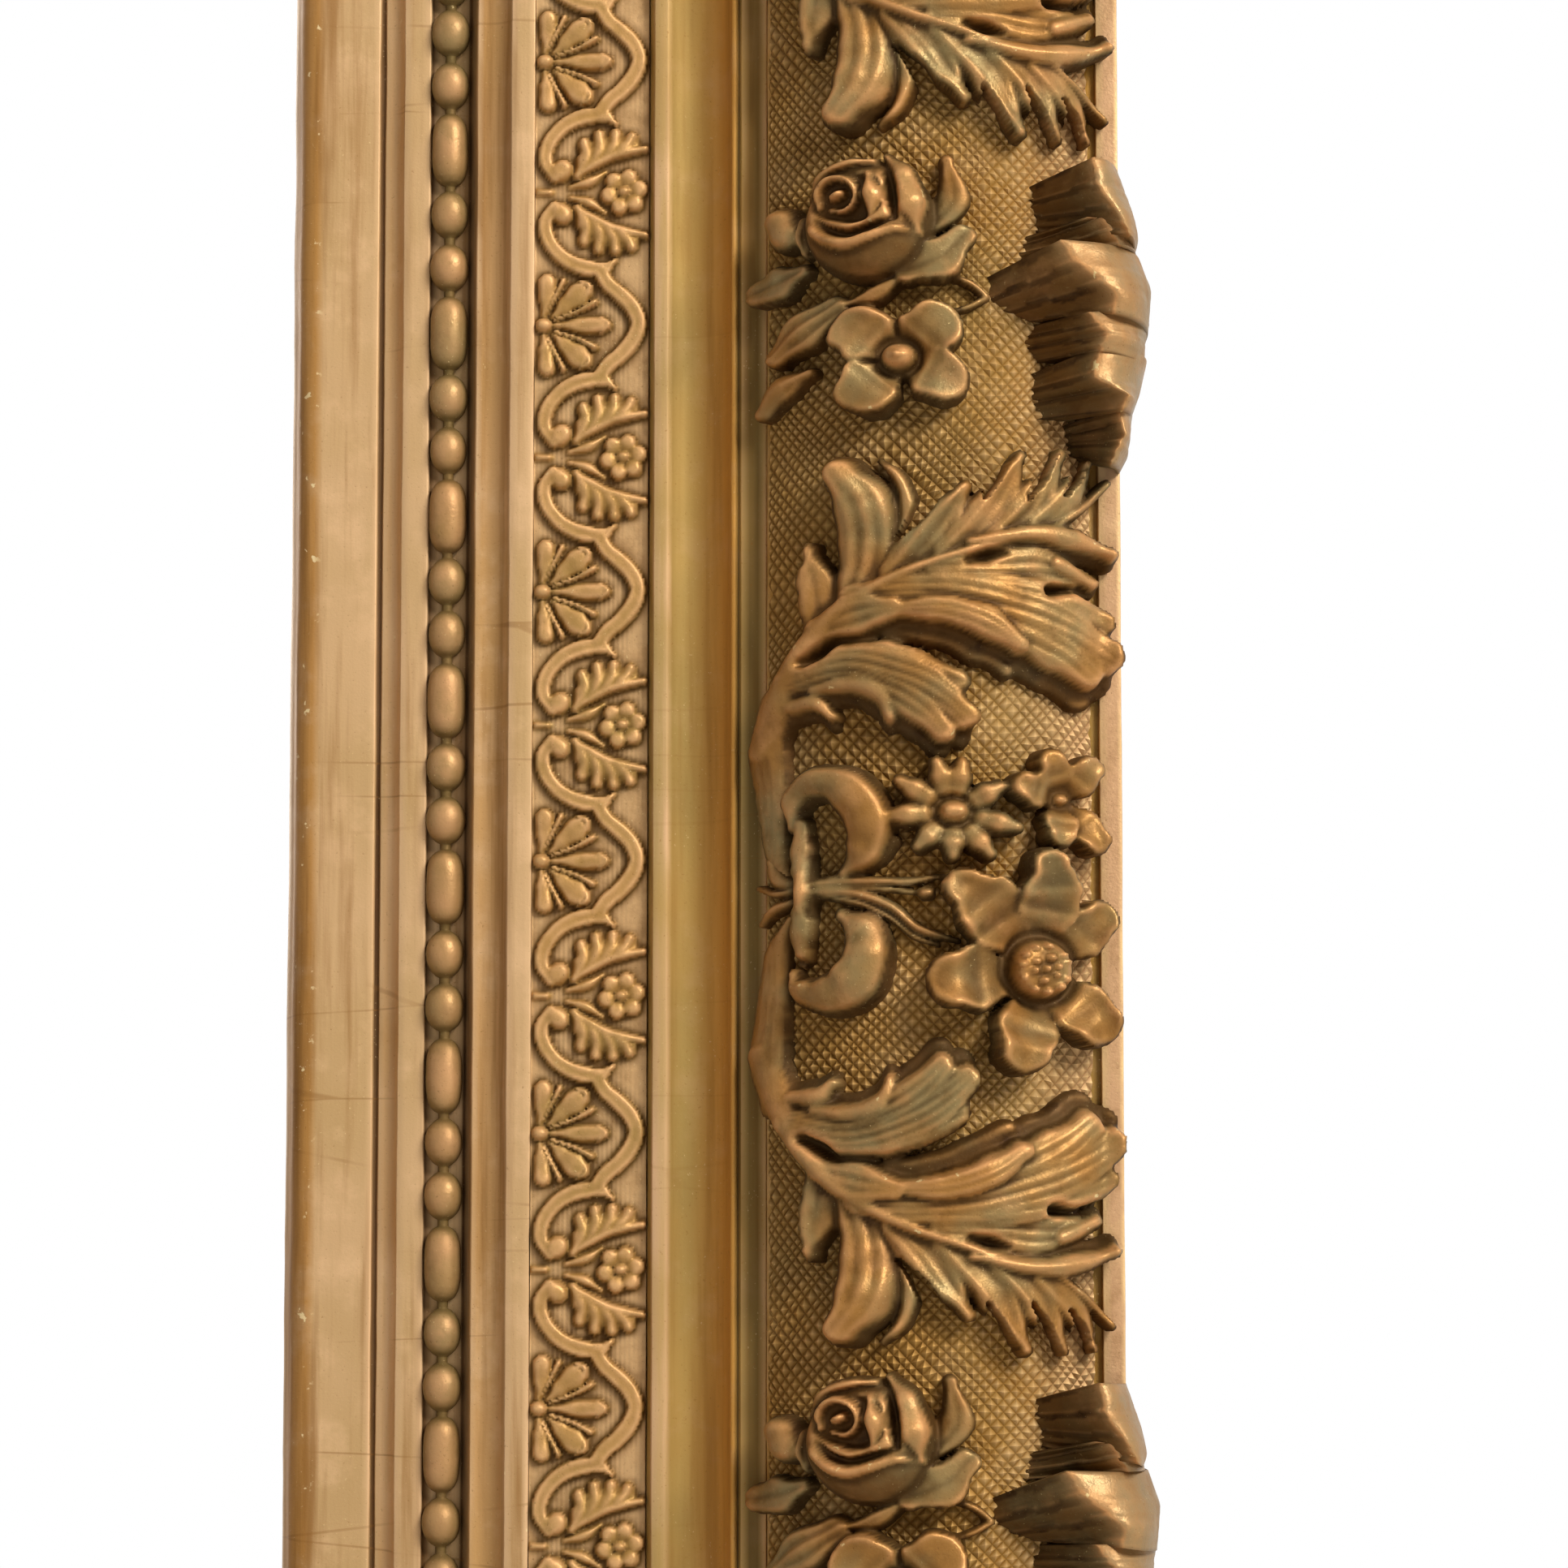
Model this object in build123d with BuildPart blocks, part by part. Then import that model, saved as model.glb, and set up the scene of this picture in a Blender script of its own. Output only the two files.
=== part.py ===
# Ornate gilded picture frame: stepped sight moulding, cove and wide torus with applied foliage.
# A rail is drawn upright, as the right side of the frame: u runs outward from the sight edge,
# h from the wall towards the front and s along the rail. Each side is then turned into place.
from build123d import *
from math import cos, radians, sin, sqrt
import os

os.makedirs("parts", exist_ok=True)

# Opening and rabbet
sight_width = 494.0
sight_height = 748.0
rabbet_width = 8.0
lip_rebate = 1.0

# Carcass behind the mouldings
strip_thickness = 10.0
back_thickness = 18.0
ledge_width = 26.0
side_setback = 7.5

# Sight rail, from the sight edge outward
sight_draft = 1.7
lip_height = 4.5
nose_width = 5.4
nose_rise = 4.5
flat_width = 12.6
quirk_width = 1.3
quirk_depth = 0.8
small_hollow_width = 4.4
small_hollow_rise = 4.0
bead_fillet_width = 5.9
bead_channel_depth = 1.5
step_run = 2.1
step_rise = 6.5
hollow_width = 7.7
hollow_rise = 5.0
lace_fillet_width = 5.2
lace_channel_depth = 1.8

# Bead string
bead_diameter = 8.0
barrel_length = 16.5
bead_neck_radius = 1.4
bead_neck_length = 1.0
bead_side_clearance = 0.3
bead_base = 1.0
bead_repeat_target = 40.5

# Lace strip
lace_width = 24.9
lace_base = 1.0
lace_relief = 2.0
lace_side_clearance = 0.1
lace_repeat_target = 59.0
ribbon_width = 2.6

# Cove rail
cove_step_run = 1.3
cove_step_rise = 4.8
cove_fillet_width = 3.0
cove_width = 13.8
cove_rise = 8.0
cove_dip = 2.2
astragal_width = 1.4
astragal_rise = 0.6
cove_quirk_width = 0.7
shadow_flat_width = 5.8
shadow_drop = 0.5

# Torus rail
torus_width = 69.3
torus_foot_rise = 4.5
torus_tilt = 5.0
torus_sagitta = 15.0
edge_groove_width = 1.6
edge_groove_depth = 1.5
edge_fillet_width = 4.6
edge_fillet_rise = 1.5
edge_side_height = 7.5
side_hollow_drop = 14.0

# Applied foliage
foliage_repeat_target = 257.0
leaf_relief = 5.5
petal_relief = 7.0
stem_relief = 3.0
rose_radius = 12.9
bud_radius = 4.2
daisy_petal_count = 8
daisy_petal_length = 11.8
daisy_petal_width = 4.4
anemone_petal_count = 7
anemone_petal_length = 15.5
anemone_petal_width = 9.0
anemone_dome_radius = 7.2
five_petal_length = 12.4
five_petal_width = 10.5
flower_knob_radius = 4.2
shell_finger_count = 7
shell_finger_spacing = 9.0
shell_finger_width = 10.0
shell_length = 30.0
shell_overhang = 7.5
shell_crest_rise = 14.5
shell_lip_drop = 6.0
corner_finger_count = 7
corner_finger_angle = 15.0
corner_shell_length = 50.0
corner_rose_inset = 20.0
corner_leaf_length = 15.0

# Mitre keys
key_leg = 56.0
key_thickness = 4.0
key_setback = 9.0

# Assembly screws
screw_diameter = 5.0
screw_head_diameter = 9.5
screw_head_height = 2.6
screw_head_sink = 0.5
screw_head_land = 0.3
screw_hole_clearance = 0.1
long_screw_length = 58.0
short_screw_length = 37.0
screw_end_margin = 75.0
screw_spacing_target = 300.0

# Turn-buttons
button_thickness = 2.0
button_width = 12.0
button_reach = 26.0
button_gap = 0.15
button_wall_clearance = 0.5
button_screw_diameter = 4.0
button_screw_clearance = 0.08
button_screw_length = 14.0
button_head_diameter = 8.4
button_head_height = 2.2
button_offset = 270.0

# Hangers
hanger_offset = 200.0
plate_thickness = 2.0
plate_width = 14.0
plate_length = 58.0
barrel_diameter = 8.0
ring_wire = 3.6
ring_bore_clearance = 0.08
ring_side_clearance = 0.7
ring_leg = 16.0
hanger_screw_diameter = 3.6
hanger_screw_head = 6.8
hanger_screw_length = 15.0
hanger_screw_spacing = 24.0
hanger_screw_first = 20.0

# Places across the rail
nose_end = sight_draft + nose_width
flat_end = nose_end + flat_width
quirk_end = flat_end + quirk_width
small_hollow_end = quirk_end + small_hollow_width
bead_fillet_end = small_hollow_end + bead_fillet_width
bead_centre = bead_fillet_end + bead_side_clearance + bead_diameter / 2
bead_channel_end = bead_fillet_end + bead_diameter + 2 * bead_side_clearance
step_end = bead_channel_end + step_run
hollow_end = step_end + hollow_width
lace_fillet_end = hollow_end + lace_fillet_width
lace_start = lace_fillet_end + lace_side_clearance
lace_centre = lace_start + lace_width / 2
lace_channel_end = lace_start + lace_width + lace_side_clearance
cove_step_end = lace_channel_end + cove_step_run
cove_fillet_end = cove_step_end + cove_fillet_width
cove_end = cove_fillet_end + cove_width
astragal_end = cove_end + astragal_width
cove_quirk_end = astragal_end + cove_quirk_width
torus_start = cove_quirk_end + shadow_flat_width
torus_end = torus_start + torus_width
torus_centre = torus_start + torus_width / 2
edge_groove_end = torus_end + edge_groove_width
rail_width = edge_groove_end + edge_fillet_width
side_face = rail_width - side_setback
strip_start = rabbet_width + ledge_width

# Heights above the wall
ledge_height = strip_thickness
back_front = strip_thickness + back_thickness
lip_back = back_front + lip_rebate
nose_foot = lip_back + lip_height
flat_height = nose_foot + nose_rise
bead_fillet_height = flat_height + small_hollow_rise
bead_floor = bead_fillet_height - bead_channel_depth
step_height = bead_floor + step_rise
lace_fillet_height = step_height + hollow_rise
lace_floor = lace_fillet_height - lace_channel_depth
cove_fillet_height = lace_floor + cove_step_rise
cove_top = cove_fillet_height + cove_rise
shadow_height = cove_top - shadow_drop
torus_foot_height = shadow_height + torus_foot_rise
torus_edge_height = torus_foot_height + torus_tilt
torus_crest_height = (torus_foot_height + torus_edge_height) / 2 + torus_sagitta
edge_height = torus_edge_height + edge_fillet_rise
side_hollow_top = edge_height - edge_side_height
side_hollow_foot = side_hollow_top - side_hollow_drop
front_reach = torus_crest_height + 2 * rose_radius

# Planes: section shows (u, h), front shows (u, s) and rises towards the viewer
section_plane = Plane(origin=(0, 0, 0), x_dir=(1, 0, 0), z_dir=(0, 0, -1))
front_plane = Plane(origin=(0, 0, 0), x_dir=(1, 0, 0), z_dir=(0, -1, 0))
origin_drop = sight_height / 2 + (strip_start + side_face) / 2

sides = {
    "right": {"turn": 0, "offset": sight_width / 2, "half": sight_height / 2},
    "left": {"turn": 180, "offset": sight_width / 2, "half": sight_height / 2},
    "top": {"turn": -90, "offset": sight_height / 2, "half": sight_width / 2},
    "bottom": {"turn": 90, "offset": sight_height / 2, "half": sight_width / 2},
}


def side_location(side):
    return Location((0, 0, -origin_drop), (0, side["turn"], 0)) * Location((side["offset"], 0, 0))


def keep(part, name):
    part.label = name
    export_step(part, f"parts/{name}.step")


def repeats(half, across, target):
    # Count and pitch of a pattern that closes exactly at both mitres on its own centreline.
    length = 2 * (half + across)
    count = round(length / target)
    return count, length / count


def hollow(start, end):
    run = (end[0] - start[0]) * sin(radians(45))
    rise = (end[1] - start[1]) * (1 - sin(radians(45)))
    ThreePointArc(start, (start[0] + run, start[1] + rise), end)


def ovolo(start, end):
    run = (end[0] - start[0]) * (1 - sin(radians(45)))
    rise = (end[1] - start[1]) * sin(radians(45))
    ThreePointArc(start, (start[0] + run, start[1] + rise), end)


def torus_height(u):
    # Height of the torus surface above the wall at a place across the rail.
    chord = sqrt(torus_width**2 + torus_tilt**2)
    radius = chord**2 / (8 * torus_sagitta) + torus_sagitta / 2
    fall = radius - torus_sagitta
    centre_u = torus_centre + fall * torus_tilt / chord
    centre_h = (torus_foot_height + torus_edge_height) / 2 - fall * torus_width / chord
    return centre_h + sqrt(radius**2 - (u - centre_u) ** 2)


def front_point(u, s, h):
    return (u, -h, s)


def lobe(base, tip, right, left):
    # Leaf outline of two arcs, each swelling outward by its own amount.
    with BuildSketch() as outline:
        with BuildLine():
            SagittaArc(base, tip, left)
            SagittaArc(tip, base, right)
        make_face()
    return outline.sketch


def mitre_block(half):
    reach = rail_width + shell_overhang + 1
    with BuildPart() as block:
        with BuildSketch(front_plane):
            with BuildLine():
                Polyline(
                    (-1, -half + 1),
                    (reach, -half - reach),
                    (reach, half + reach),
                    (-1, half - 1),
                    close=True,
                )
            make_face()
        extrude(amount=front_reach)
    return block.part


def key_outline(half, end):
    # Triangle across one mitre, its right angle at the outer corner of the rail.
    corner = half + side_face
    with BuildSketch() as outline:
        with BuildLine():
            Polyline(
                (side_face, end * corner),
                (side_face - key_leg, end * corner),
                (side_face, end * (corner - key_leg)),
                close=True,
            )
        make_face()
    return outline.sketch


def screw_rows(half):
    # Stations of the assembly screws along a rail: the long row and the short row share them.
    span = half - screw_end_margin
    count = max(2, round(2 * span / screw_spacing_target) + 1)
    return [-span + 2 * span * i / (count - 1) for i in range(count)]


def countersunk_screw(diameter, head_diameter, head_height, length, sink, clearance):
    # Screw along h with its head's flat at h = 0; a hole is the same shape, grown and opened upward.
    with BuildPart() as screw:
        with BuildSketch(section_plane):
            with BuildLine():
                Polyline(
                    (0, -sink),
                    (head_diameter / 2 + clearance, -sink),
                    (head_diameter / 2 + clearance, screw_head_land + clearance),
                    (diameter / 2 + clearance, head_height + clearance),
                    (diameter / 2 + clearance, length + clearance),
                    (0, length + clearance),
                    close=True,
                )
            make_face()
        revolve(axis=Axis((0, 0, 0), (0, -1, 0)))
    return screw.part


def assembly_places(half):
    # Screw centres as (u, s, length): one row under the torus, one under the lace.
    places = []
    for s in screw_rows(half):
        places.append((torus_centre, s, long_screw_length))
        places.append((lace_centre, s, short_screw_length))
    return places


def screw_holes(half):
    holes = []
    for u, s, length in assembly_places(half):
        hole = countersunk_screw(
            screw_diameter, screw_head_diameter, screw_head_height, length,
            2 * screw_head_sink, screw_hole_clearance,
        )
        holes.append(Location(front_point(u, s, screw_head_sink)) * hole)
    return holes


def button_stations(name):
    return [button_offset, -button_offset] if name in ("right", "left") else [0.0]


button_pivot = strip_start - button_width / 2 - button_wall_clearance


def back_strip(half):
    with BuildPart() as strip:
        with BuildSketch(section_plane):
            with BuildLine():
                Polyline(
                    (strip_start, 0),
                    (side_face, 0),
                    (side_face, strip_thickness),
                    (strip_start, strip_thickness),
                    close=True,
                )
            make_face()
        extrude(amount=half + rail_width, both=True)
        add(mitre_block(half), mode=Mode.INTERSECT)
        add(screw_holes(half), mode=Mode.SUBTRACT)
    return strip.part


def back_rail(half, name):
    with BuildPart() as rail:
        with BuildSketch(section_plane):
            with BuildLine():
                Polyline(
                    (rabbet_width, ledge_height),
                    (side_face, ledge_height),
                    (side_face, back_front),
                    (rabbet_width, back_front),
                    close=True,
                )
            make_face()
        extrude(amount=half + rail_width, both=True)
        add(mitre_block(half), mode=Mode.INTERSECT)
        with BuildSketch(front_plane.offset(back_front - key_setback - key_thickness)):
            for end in (1, -1):
                add(key_outline(half, end))
        extrude(amount=key_thickness, mode=Mode.SUBTRACT)
        add(screw_holes(half), mode=Mode.SUBTRACT)
        with BuildSketch(front_plane.offset(ledge_height)):
            for s in button_stations(name):
                with Locations((button_pivot, s)):
                    Circle(button_screw_diameter / 2 + screw_hole_clearance)
        extrude(amount=button_screw_length + screw_hole_clearance, mode=Mode.SUBTRACT)
        if name in ("right", "left"):
            with BuildSketch(front_plane.offset(ledge_height)):
                with Locations(*hanger_screw_places(name)):
                    Circle(hanger_screw_diameter / 2 + screw_hole_clearance)
            extrude(amount=hanger_screw_length + screw_hole_clearance, mode=Mode.SUBTRACT)
    return rail.part


def sight_rail(half):
    with BuildPart() as rail:
        with BuildSketch(section_plane):
            with BuildLine():
                Polyline((0, lip_back), (sight_draft, nose_foot))
                ovolo((sight_draft, nose_foot), (nose_end, flat_height))
                Polyline(
                    (nose_end, flat_height),
                    (flat_end, flat_height),
                    (flat_end + quirk_width / 2, flat_height - quirk_depth),
                    (quirk_end, flat_height),
                )
                hollow((quirk_end, flat_height), (small_hollow_end, bead_fillet_height))
                Polyline(
                    (small_hollow_end, bead_fillet_height),
                    (bead_fillet_end, bead_fillet_height),
                    (bead_fillet_end, bead_floor),
                    (bead_channel_end, bead_floor),
                    (step_end, step_height),
                )
                hollow((step_end, step_height), (hollow_end, lace_fillet_height))
                Polyline(
                    (hollow_end, lace_fillet_height),
                    (lace_fillet_end, lace_fillet_height),
                    (lace_fillet_end, lace_floor),
                    (lace_channel_end, lace_floor),
                    (lace_channel_end, back_front),
                    (rabbet_width, back_front),
                    (rabbet_width, lip_back),
                    (0, lip_back),
                )
            make_face()
        extrude(amount=half + rail_width, both=True)
        add(mitre_block(half), mode=Mode.INTERSECT)
        add(screw_holes(half), mode=Mode.SUBTRACT)
    return rail.part


def cove_rail(half):
    dip = (cove_fillet_end + 0.4 * cove_width, cove_fillet_height - cove_dip)
    with BuildPart() as rail:
        with BuildSketch(section_plane):
            with BuildLine():
                Polyline(
                    (lace_channel_end, back_front),
                    (lace_channel_end, lace_floor),
                    (cove_step_end, cove_fillet_height),
                    (cove_fillet_end, cove_fillet_height),
                )
                ThreePointArc((cove_fillet_end, cove_fillet_height), dip, (cove_end, cove_top))
                ThreePointArc(
                    (cove_end, cove_top),
                    (cove_end + astragal_width / 2, cove_top + astragal_rise),
                    (astragal_end, cove_top),
                )
                Polyline(
                    (astragal_end, cove_top),
                    (cove_quirk_end, shadow_height),
                    (torus_start, shadow_height),
                    (torus_start, back_front),
                    (lace_channel_end, back_front),
                )
            make_face()
        extrude(amount=half + rail_width, both=True)
        add(mitre_block(half), mode=Mode.INTERSECT)
    return rail.part


def torus_prism(half_length):
    with BuildPart() as prism:
        with BuildSketch(section_plane):
            with BuildLine():
                Polyline(
                    (side_face, back_front),
                    (torus_start, back_front),
                    (torus_start, torus_foot_height),
                )
                ThreePointArc(
                    (torus_start, torus_foot_height),
                    (torus_centre, torus_height(torus_centre)),
                    (torus_end, torus_edge_height),
                )
                Polyline(
                    (torus_end, torus_edge_height),
                    (torus_end, torus_edge_height - edge_groove_depth),
                    (edge_groove_end, torus_edge_height - edge_groove_depth),
                    (edge_groove_end, edge_height),
                    (rail_width, edge_height),
                    (rail_width, side_hollow_top),
                )
                hollow((side_face, side_hollow_foot), (rail_width, side_hollow_top))
                Line((side_face, side_hollow_foot), (side_face, back_front))
            make_face()
        extrude(amount=half_length, both=True)
    return prism.part


def torus_rail(half):
    with BuildPart() as rail:
        add(torus_prism(half + rail_width))
        add(mitre_block(half), mode=Mode.INTERSECT)
        with BuildSketch(front_plane.offset(back_front + key_setback)):
            for end in (1, -1):
                add(key_outline(half, end))
        extrude(amount=key_thickness, mode=Mode.SUBTRACT)
        add(screw_holes(half), mode=Mode.SUBTRACT)
    return rail.part


def bead_spans(pitch):
    # Start and end of each swelling in one repeat: a barrel at the middle, round beads at its ends.
    round_length = (pitch - barrel_length - 3 * bead_neck_length) / 2
    edge = barrel_length / 2 + bead_neck_length
    spans = [(-barrel_length / 2, barrel_length / 2)]
    spans.append((edge, edge + round_length))
    spans.append((edge + round_length + bead_neck_length, edge + 2 * round_length + bead_neck_length))
    return spans


def bead_string(half):
    # Half-round beads pressed in one with a thin backing that lies on the channel floor.
    count, pitch = repeats(half, bead_centre, bead_repeat_target)
    string_axis = front_point(bead_centre, 0, bead_floor + bead_base)
    string_plane = Plane(origin=string_axis, x_dir=(0, 0, 1), z_dir=(0, -1, 0))
    first = -count // 2 - 1
    swellings = []
    for i in range(first, count // 2 + 2):
        swellings += [(i * pitch + low, i * pitch + high) for low, high in bead_spans(pitch)]
    with BuildPart() as string:
        with BuildSketch(string_plane):
            with BuildLine():
                last = (swellings[0][0], bead_neck_radius)
                Line((last[0], 0), last)
                for low, high in swellings:
                    if low > last[0]:
                        Line(last, (low, bead_neck_radius))
                    ThreePointArc(
                        (low, bead_neck_radius),
                        ((low + high) / 2, bead_diameter / 2),
                        (high, bead_neck_radius),
                    )
                    last = (high, bead_neck_radius)
                Polyline(last, (last[0], 0), (swellings[0][0], 0))
            make_face()
        revolve(axis=Axis(string_axis, (0, 0, 1)), revolution_arc=180)
        with BuildSketch(front_plane.offset(bead_floor)):
            with Locations((bead_centre, 0)):
                Rectangle(bead_diameter, 2 * (half + rail_width))
        extrude(amount=bead_base)
        add(mitre_block(half), mode=Mode.INTERSECT)
    return string.part


def lace_unit(pitch):
    # One palmette under its ribbon arch, with volutes, leaves and the rosette that follows it.
    arch_foot = (14.6, 10.2)
    arch_top = (lace_width - ribbon_width / 2 - 0.2, 0)
    scroll_turn = (ribbon_width / 2 + 0.3, 0.76 * pitch / 2)
    volute_radius = 2.4
    volute = (6.0, pitch / 2 - 4.6)
    rosette = (lace_width - 5.4, pitch / 2)
    with BuildPart() as unit:
        with BuildSketch(front_plane.offset(lace_floor + lace_base)):
            with BuildLine():
                ThreePointArc((arch_foot[0], -arch_foot[1]), arch_top, arch_foot)
            trace(line_width=ribbon_width)
            for end in (1, -1):
                with BuildLine():
                    ThreePointArc(
                        (arch_foot[0], end * arch_foot[1]),
                        (6.4, end * (arch_foot[1] + 4.2)),
                        (scroll_turn[0], end * scroll_turn[1]),
                    )
                trace(line_width=ribbon_width)
                with BuildLine():
                    ThreePointArc(
                        (scroll_turn[0], end * scroll_turn[1]),
                        (scroll_turn[0] + 1.4, end * (volute[1] + 1.0)),
                        (volute[0], end * (volute[1] + volute_radius - ribbon_width / 4)),
                    )
                trace(line_width=ribbon_width)
                with Locations((volute[0], end * volute[1])):
                    Circle(volute_radius)
                add(lobe((2.6, end * 1.6), (2.7, end * 10.6), 2.0, 2.0))
                add(lobe((3.6, end * 1.0), (11.6, end * 7.6), 2.2, 2.2))
                add(lobe((8.6, end * (pitch / 2 - 2.2)), (lace_width - 1.2, end * (pitch / 2 - 9.4)), 2.2, 2.2))
            add(lobe((3.0, 0), (17.2, 0), 2.0, 2.0))
            with Locations((2.6, 0)):
                Circle(2.0)
            with Locations(rosette):
                Circle(4.6)
        extrude(amount=lace_relief)
        with BuildSketch(front_plane.offset(lace_floor)):
            with Locations((lace_width / 2, 0)):
                Rectangle(lace_width, pitch)
        extrude(amount=lace_base)
    return unit.part


def lace_strip(half):
    count, pitch = repeats(half, lace_centre, lace_repeat_target)
    unit = lace_unit(pitch)
    first = -(count - 1) / 2 - 1
    with BuildPart() as strip:
        with Locations(*[front_point(lace_start, (first + i) * pitch, 0) for i in range(count + 2)]):
            add(unit)
        add(mitre_block(half), mode=Mode.INTERSECT)
    return strip.part


def relief_blank(relief, half_length):
    # Room that applied ornament of one thickness may fill above the torus.
    with BuildPart() as blank:
        with BuildSketch(section_plane):
            with BuildLine():
                Polyline(
                    (rail_width, edge_height + relief / 2),
                    (rail_width, shadow_height),
                    (torus_start, shadow_height),
                    (torus_start, torus_foot_height + relief / 2),
                )
                ThreePointArc(
                    (torus_start, torus_foot_height + relief / 2),
                    (torus_centre, torus_height(torus_centre) + relief),
                    (rail_width, edge_height + relief / 2),
                )
            make_face()
        extrude(amount=half_length, both=True)
        add(torus_prism(half_length), mode=Mode.SUBTRACT)
    return blank.part


foliage_half = foliage_repeat_target / 2 + 10
leaf_blank = relief_blank(leaf_relief, foliage_half)
petal_blank = relief_blank(petal_relief, foliage_half)
stem_blank = relief_blank(stem_relief, foliage_half)
torus_core = torus_prism(foliage_half)


def scroll_leaf():
    # Lobes as base, tip and swell on the right and left, from the torus foot and the tie axis.
    lobes = [
        ((2.5, 8), (4, 46), 1.8, 1.8),
        ((1.5, 34), (66, 87), -1.5, 14),
        ((18, 63), (17, 93), 9, -1.5),
        ((13, 58), (11.5, 76), 2.5, 3.5),
        ((29, 72), (41, 87.5), 3, 2.5),
        ((39, 76), (52, 93.5), 3, 2.5),
        ((47, 78), (59.5, 92), 2.5, 2.5),
        ((38, 71), (72, 73), 5, 3),
        ((22, 64), (74, 49), 1, 9.5),
        ((28, 60), (52.5, 52.5), -2, 6),
        ((6, 45), (42.5, 34.5), 1, 9),
        ((6, 42), (28, 37), -1, 5),
    ]
    with BuildPart() as leaf:
        with BuildSketch(front_plane.offset(shadow_height)):
            for base, tip, right, left in lobes:
                place = Location((torus_start, 0))
                add(place * lobe(base, tip, right, left))
        extrude(amount=front_reach - shadow_height)
        add(leaf_blank, mode=Mode.INTERSECT)
    return leaf.part


def flower(centre, count, length, width, turn):
    # Ring of petals that meet at the middle.
    with BuildSketch() as outline:
        with Locations(centre):
            with PolarLocations(0, count, start_angle=turn):
                add(lobe((1, 0), (length, 0), width / 2, width / 2))
            Circle(length / 3)
    return outline.sketch


def bouquet_stems():
    tie_end = torus_start + 6.5
    with BuildPart() as stems:
        with BuildSketch(front_plane.offset(shadow_height)):
            add(lobe((tie_end - 3, 3), (tie_end + 33, 4.5), 1.8, 1.8))
            add(lobe((tie_end - 1, 2), (tie_end + 34, -9), 3.6, -0.6))
            add(lobe((tie_end + 1, 14), (tie_end + 1.5, -14), 2, 2))
        extrude(amount=front_reach - shadow_height)
        add(stem_blank, mode=Mode.INTERSECT)
    return stems.part


def tie_bouquet():
    daisy = (torus_start + 38.7, 17.7)
    small_flower = (torus_start + 60.2, 21.5)
    anemone = (torus_start + 55.0, -14.6)
    tie_end = torus_start + 6.5
    with BuildPart() as bouquet:
        with BuildSketch(front_plane.offset(shadow_height)):
            add(flower(daisy, daisy_petal_count, daisy_petal_length, daisy_petal_width, 20))
            add(flower(small_flower, 5, 8.4, 6.0, 40))
            add(flower(anemone, anemone_petal_count, anemone_petal_length, anemone_petal_width, 12))
            for end in (1, -1):
                add(lobe((tie_end + 1, end * 18), (tie_end + 13, end * 6.5), -end * 1.5 + 4.5, end * 1.5 + 4.5))
                add(lobe((tie_end, end * 20), (tie_end + 18, end * 17.5), 5, 5))
                add(lobe((torus_start + 1, end * 2.5), (tie_end + 5, end * 0.5), 1.6, 1.6))
        extrude(amount=front_reach - shadow_height)
        add(petal_blank, mode=Mode.INTERSECT)
        for centre, radius in ((daisy, 3.2), (anemone, anemone_dome_radius)):
            with Locations(front_point(centre[0], centre[1], torus_height(centre[0]) + petal_relief / 2)):
                Sphere(radius, rotation=(90, 0, 0))
        add(bouquet_stems())
        add(torus_core, mode=Mode.SUBTRACT)
    return bouquet.part


def rose_spray():
    rose = (torus_start + 22.4, 14.6)
    bud = (torus_start + 4.4, 14.6)
    flower_centre = (torus_start + 28.7, -12.4)
    leaves = [
        ((30, 10), (40, 27), 5, 2),
        ((27, 6), (41.5, 11), 4.5, 2),
        ((12, 6), (0.5, 4), 3.5, 3.5),
        ((16, -3), (1, -13.5), 5, 4),
        ((17, -15), (0.5, -24), 2.5, 3),
        ((36, -1), (46, 1), 1.2, 1.2),
    ]
    with BuildPart() as spray:
        with BuildSketch(front_plane.offset(shadow_height)):
            for base, tip, right, left in leaves:
                place = Location((torus_start, 0))
                add(place * lobe(base, tip, right, left))
            add(flower(flower_centre, 5, five_petal_length, five_petal_width, 54))
        extrude(amount=front_reach - shadow_height)
        add(leaf_blank, mode=Mode.INTERSECT)
        with Locations(front_point(rose[0], rose[1], torus_height(rose[0]) + 1)):
            Sphere(rose_radius, rotation=(90, 0, 0))
        with Locations(front_point(bud[0], bud[1], torus_height(bud[0]) + 1)):
            Sphere(bud_radius, rotation=(90, 0, 0))
        knob_height = torus_height(flower_centre[0]) + leaf_relief
        with Locations(front_point(flower_centre[0], flower_centre[1], knob_height)):
            Sphere(flower_knob_radius, rotation=(90, 0, 0))
        add(torus_core, mode=Mode.SUBTRACT)
    return spray.part


def shell_section(half_length, start, crest, lip):
    # Side view of a shell: steep inner face, crest, and a lip that rolls over the outer edge.
    crest_height = edge_height + shell_crest_rise
    lip_height_level = edge_height - shell_lip_drop / 3
    with BuildPart() as section:
        with BuildSketch(section_plane):
            with BuildLine():
                Polyline(
                    (lip, lip_height_level),
                    (rail_width, edge_height - shell_lip_drop),
                    (start, edge_height - shell_lip_drop),
                    (start, torus_height(start) + 1),
                )
                SagittaArc((start, torus_height(start) + 1), (crest, crest_height), 1.5)
                SagittaArc((crest, crest_height), (lip, lip_height_level), 4)
            make_face()
        extrude(amount=half_length, both=True)
    return section.part


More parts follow.
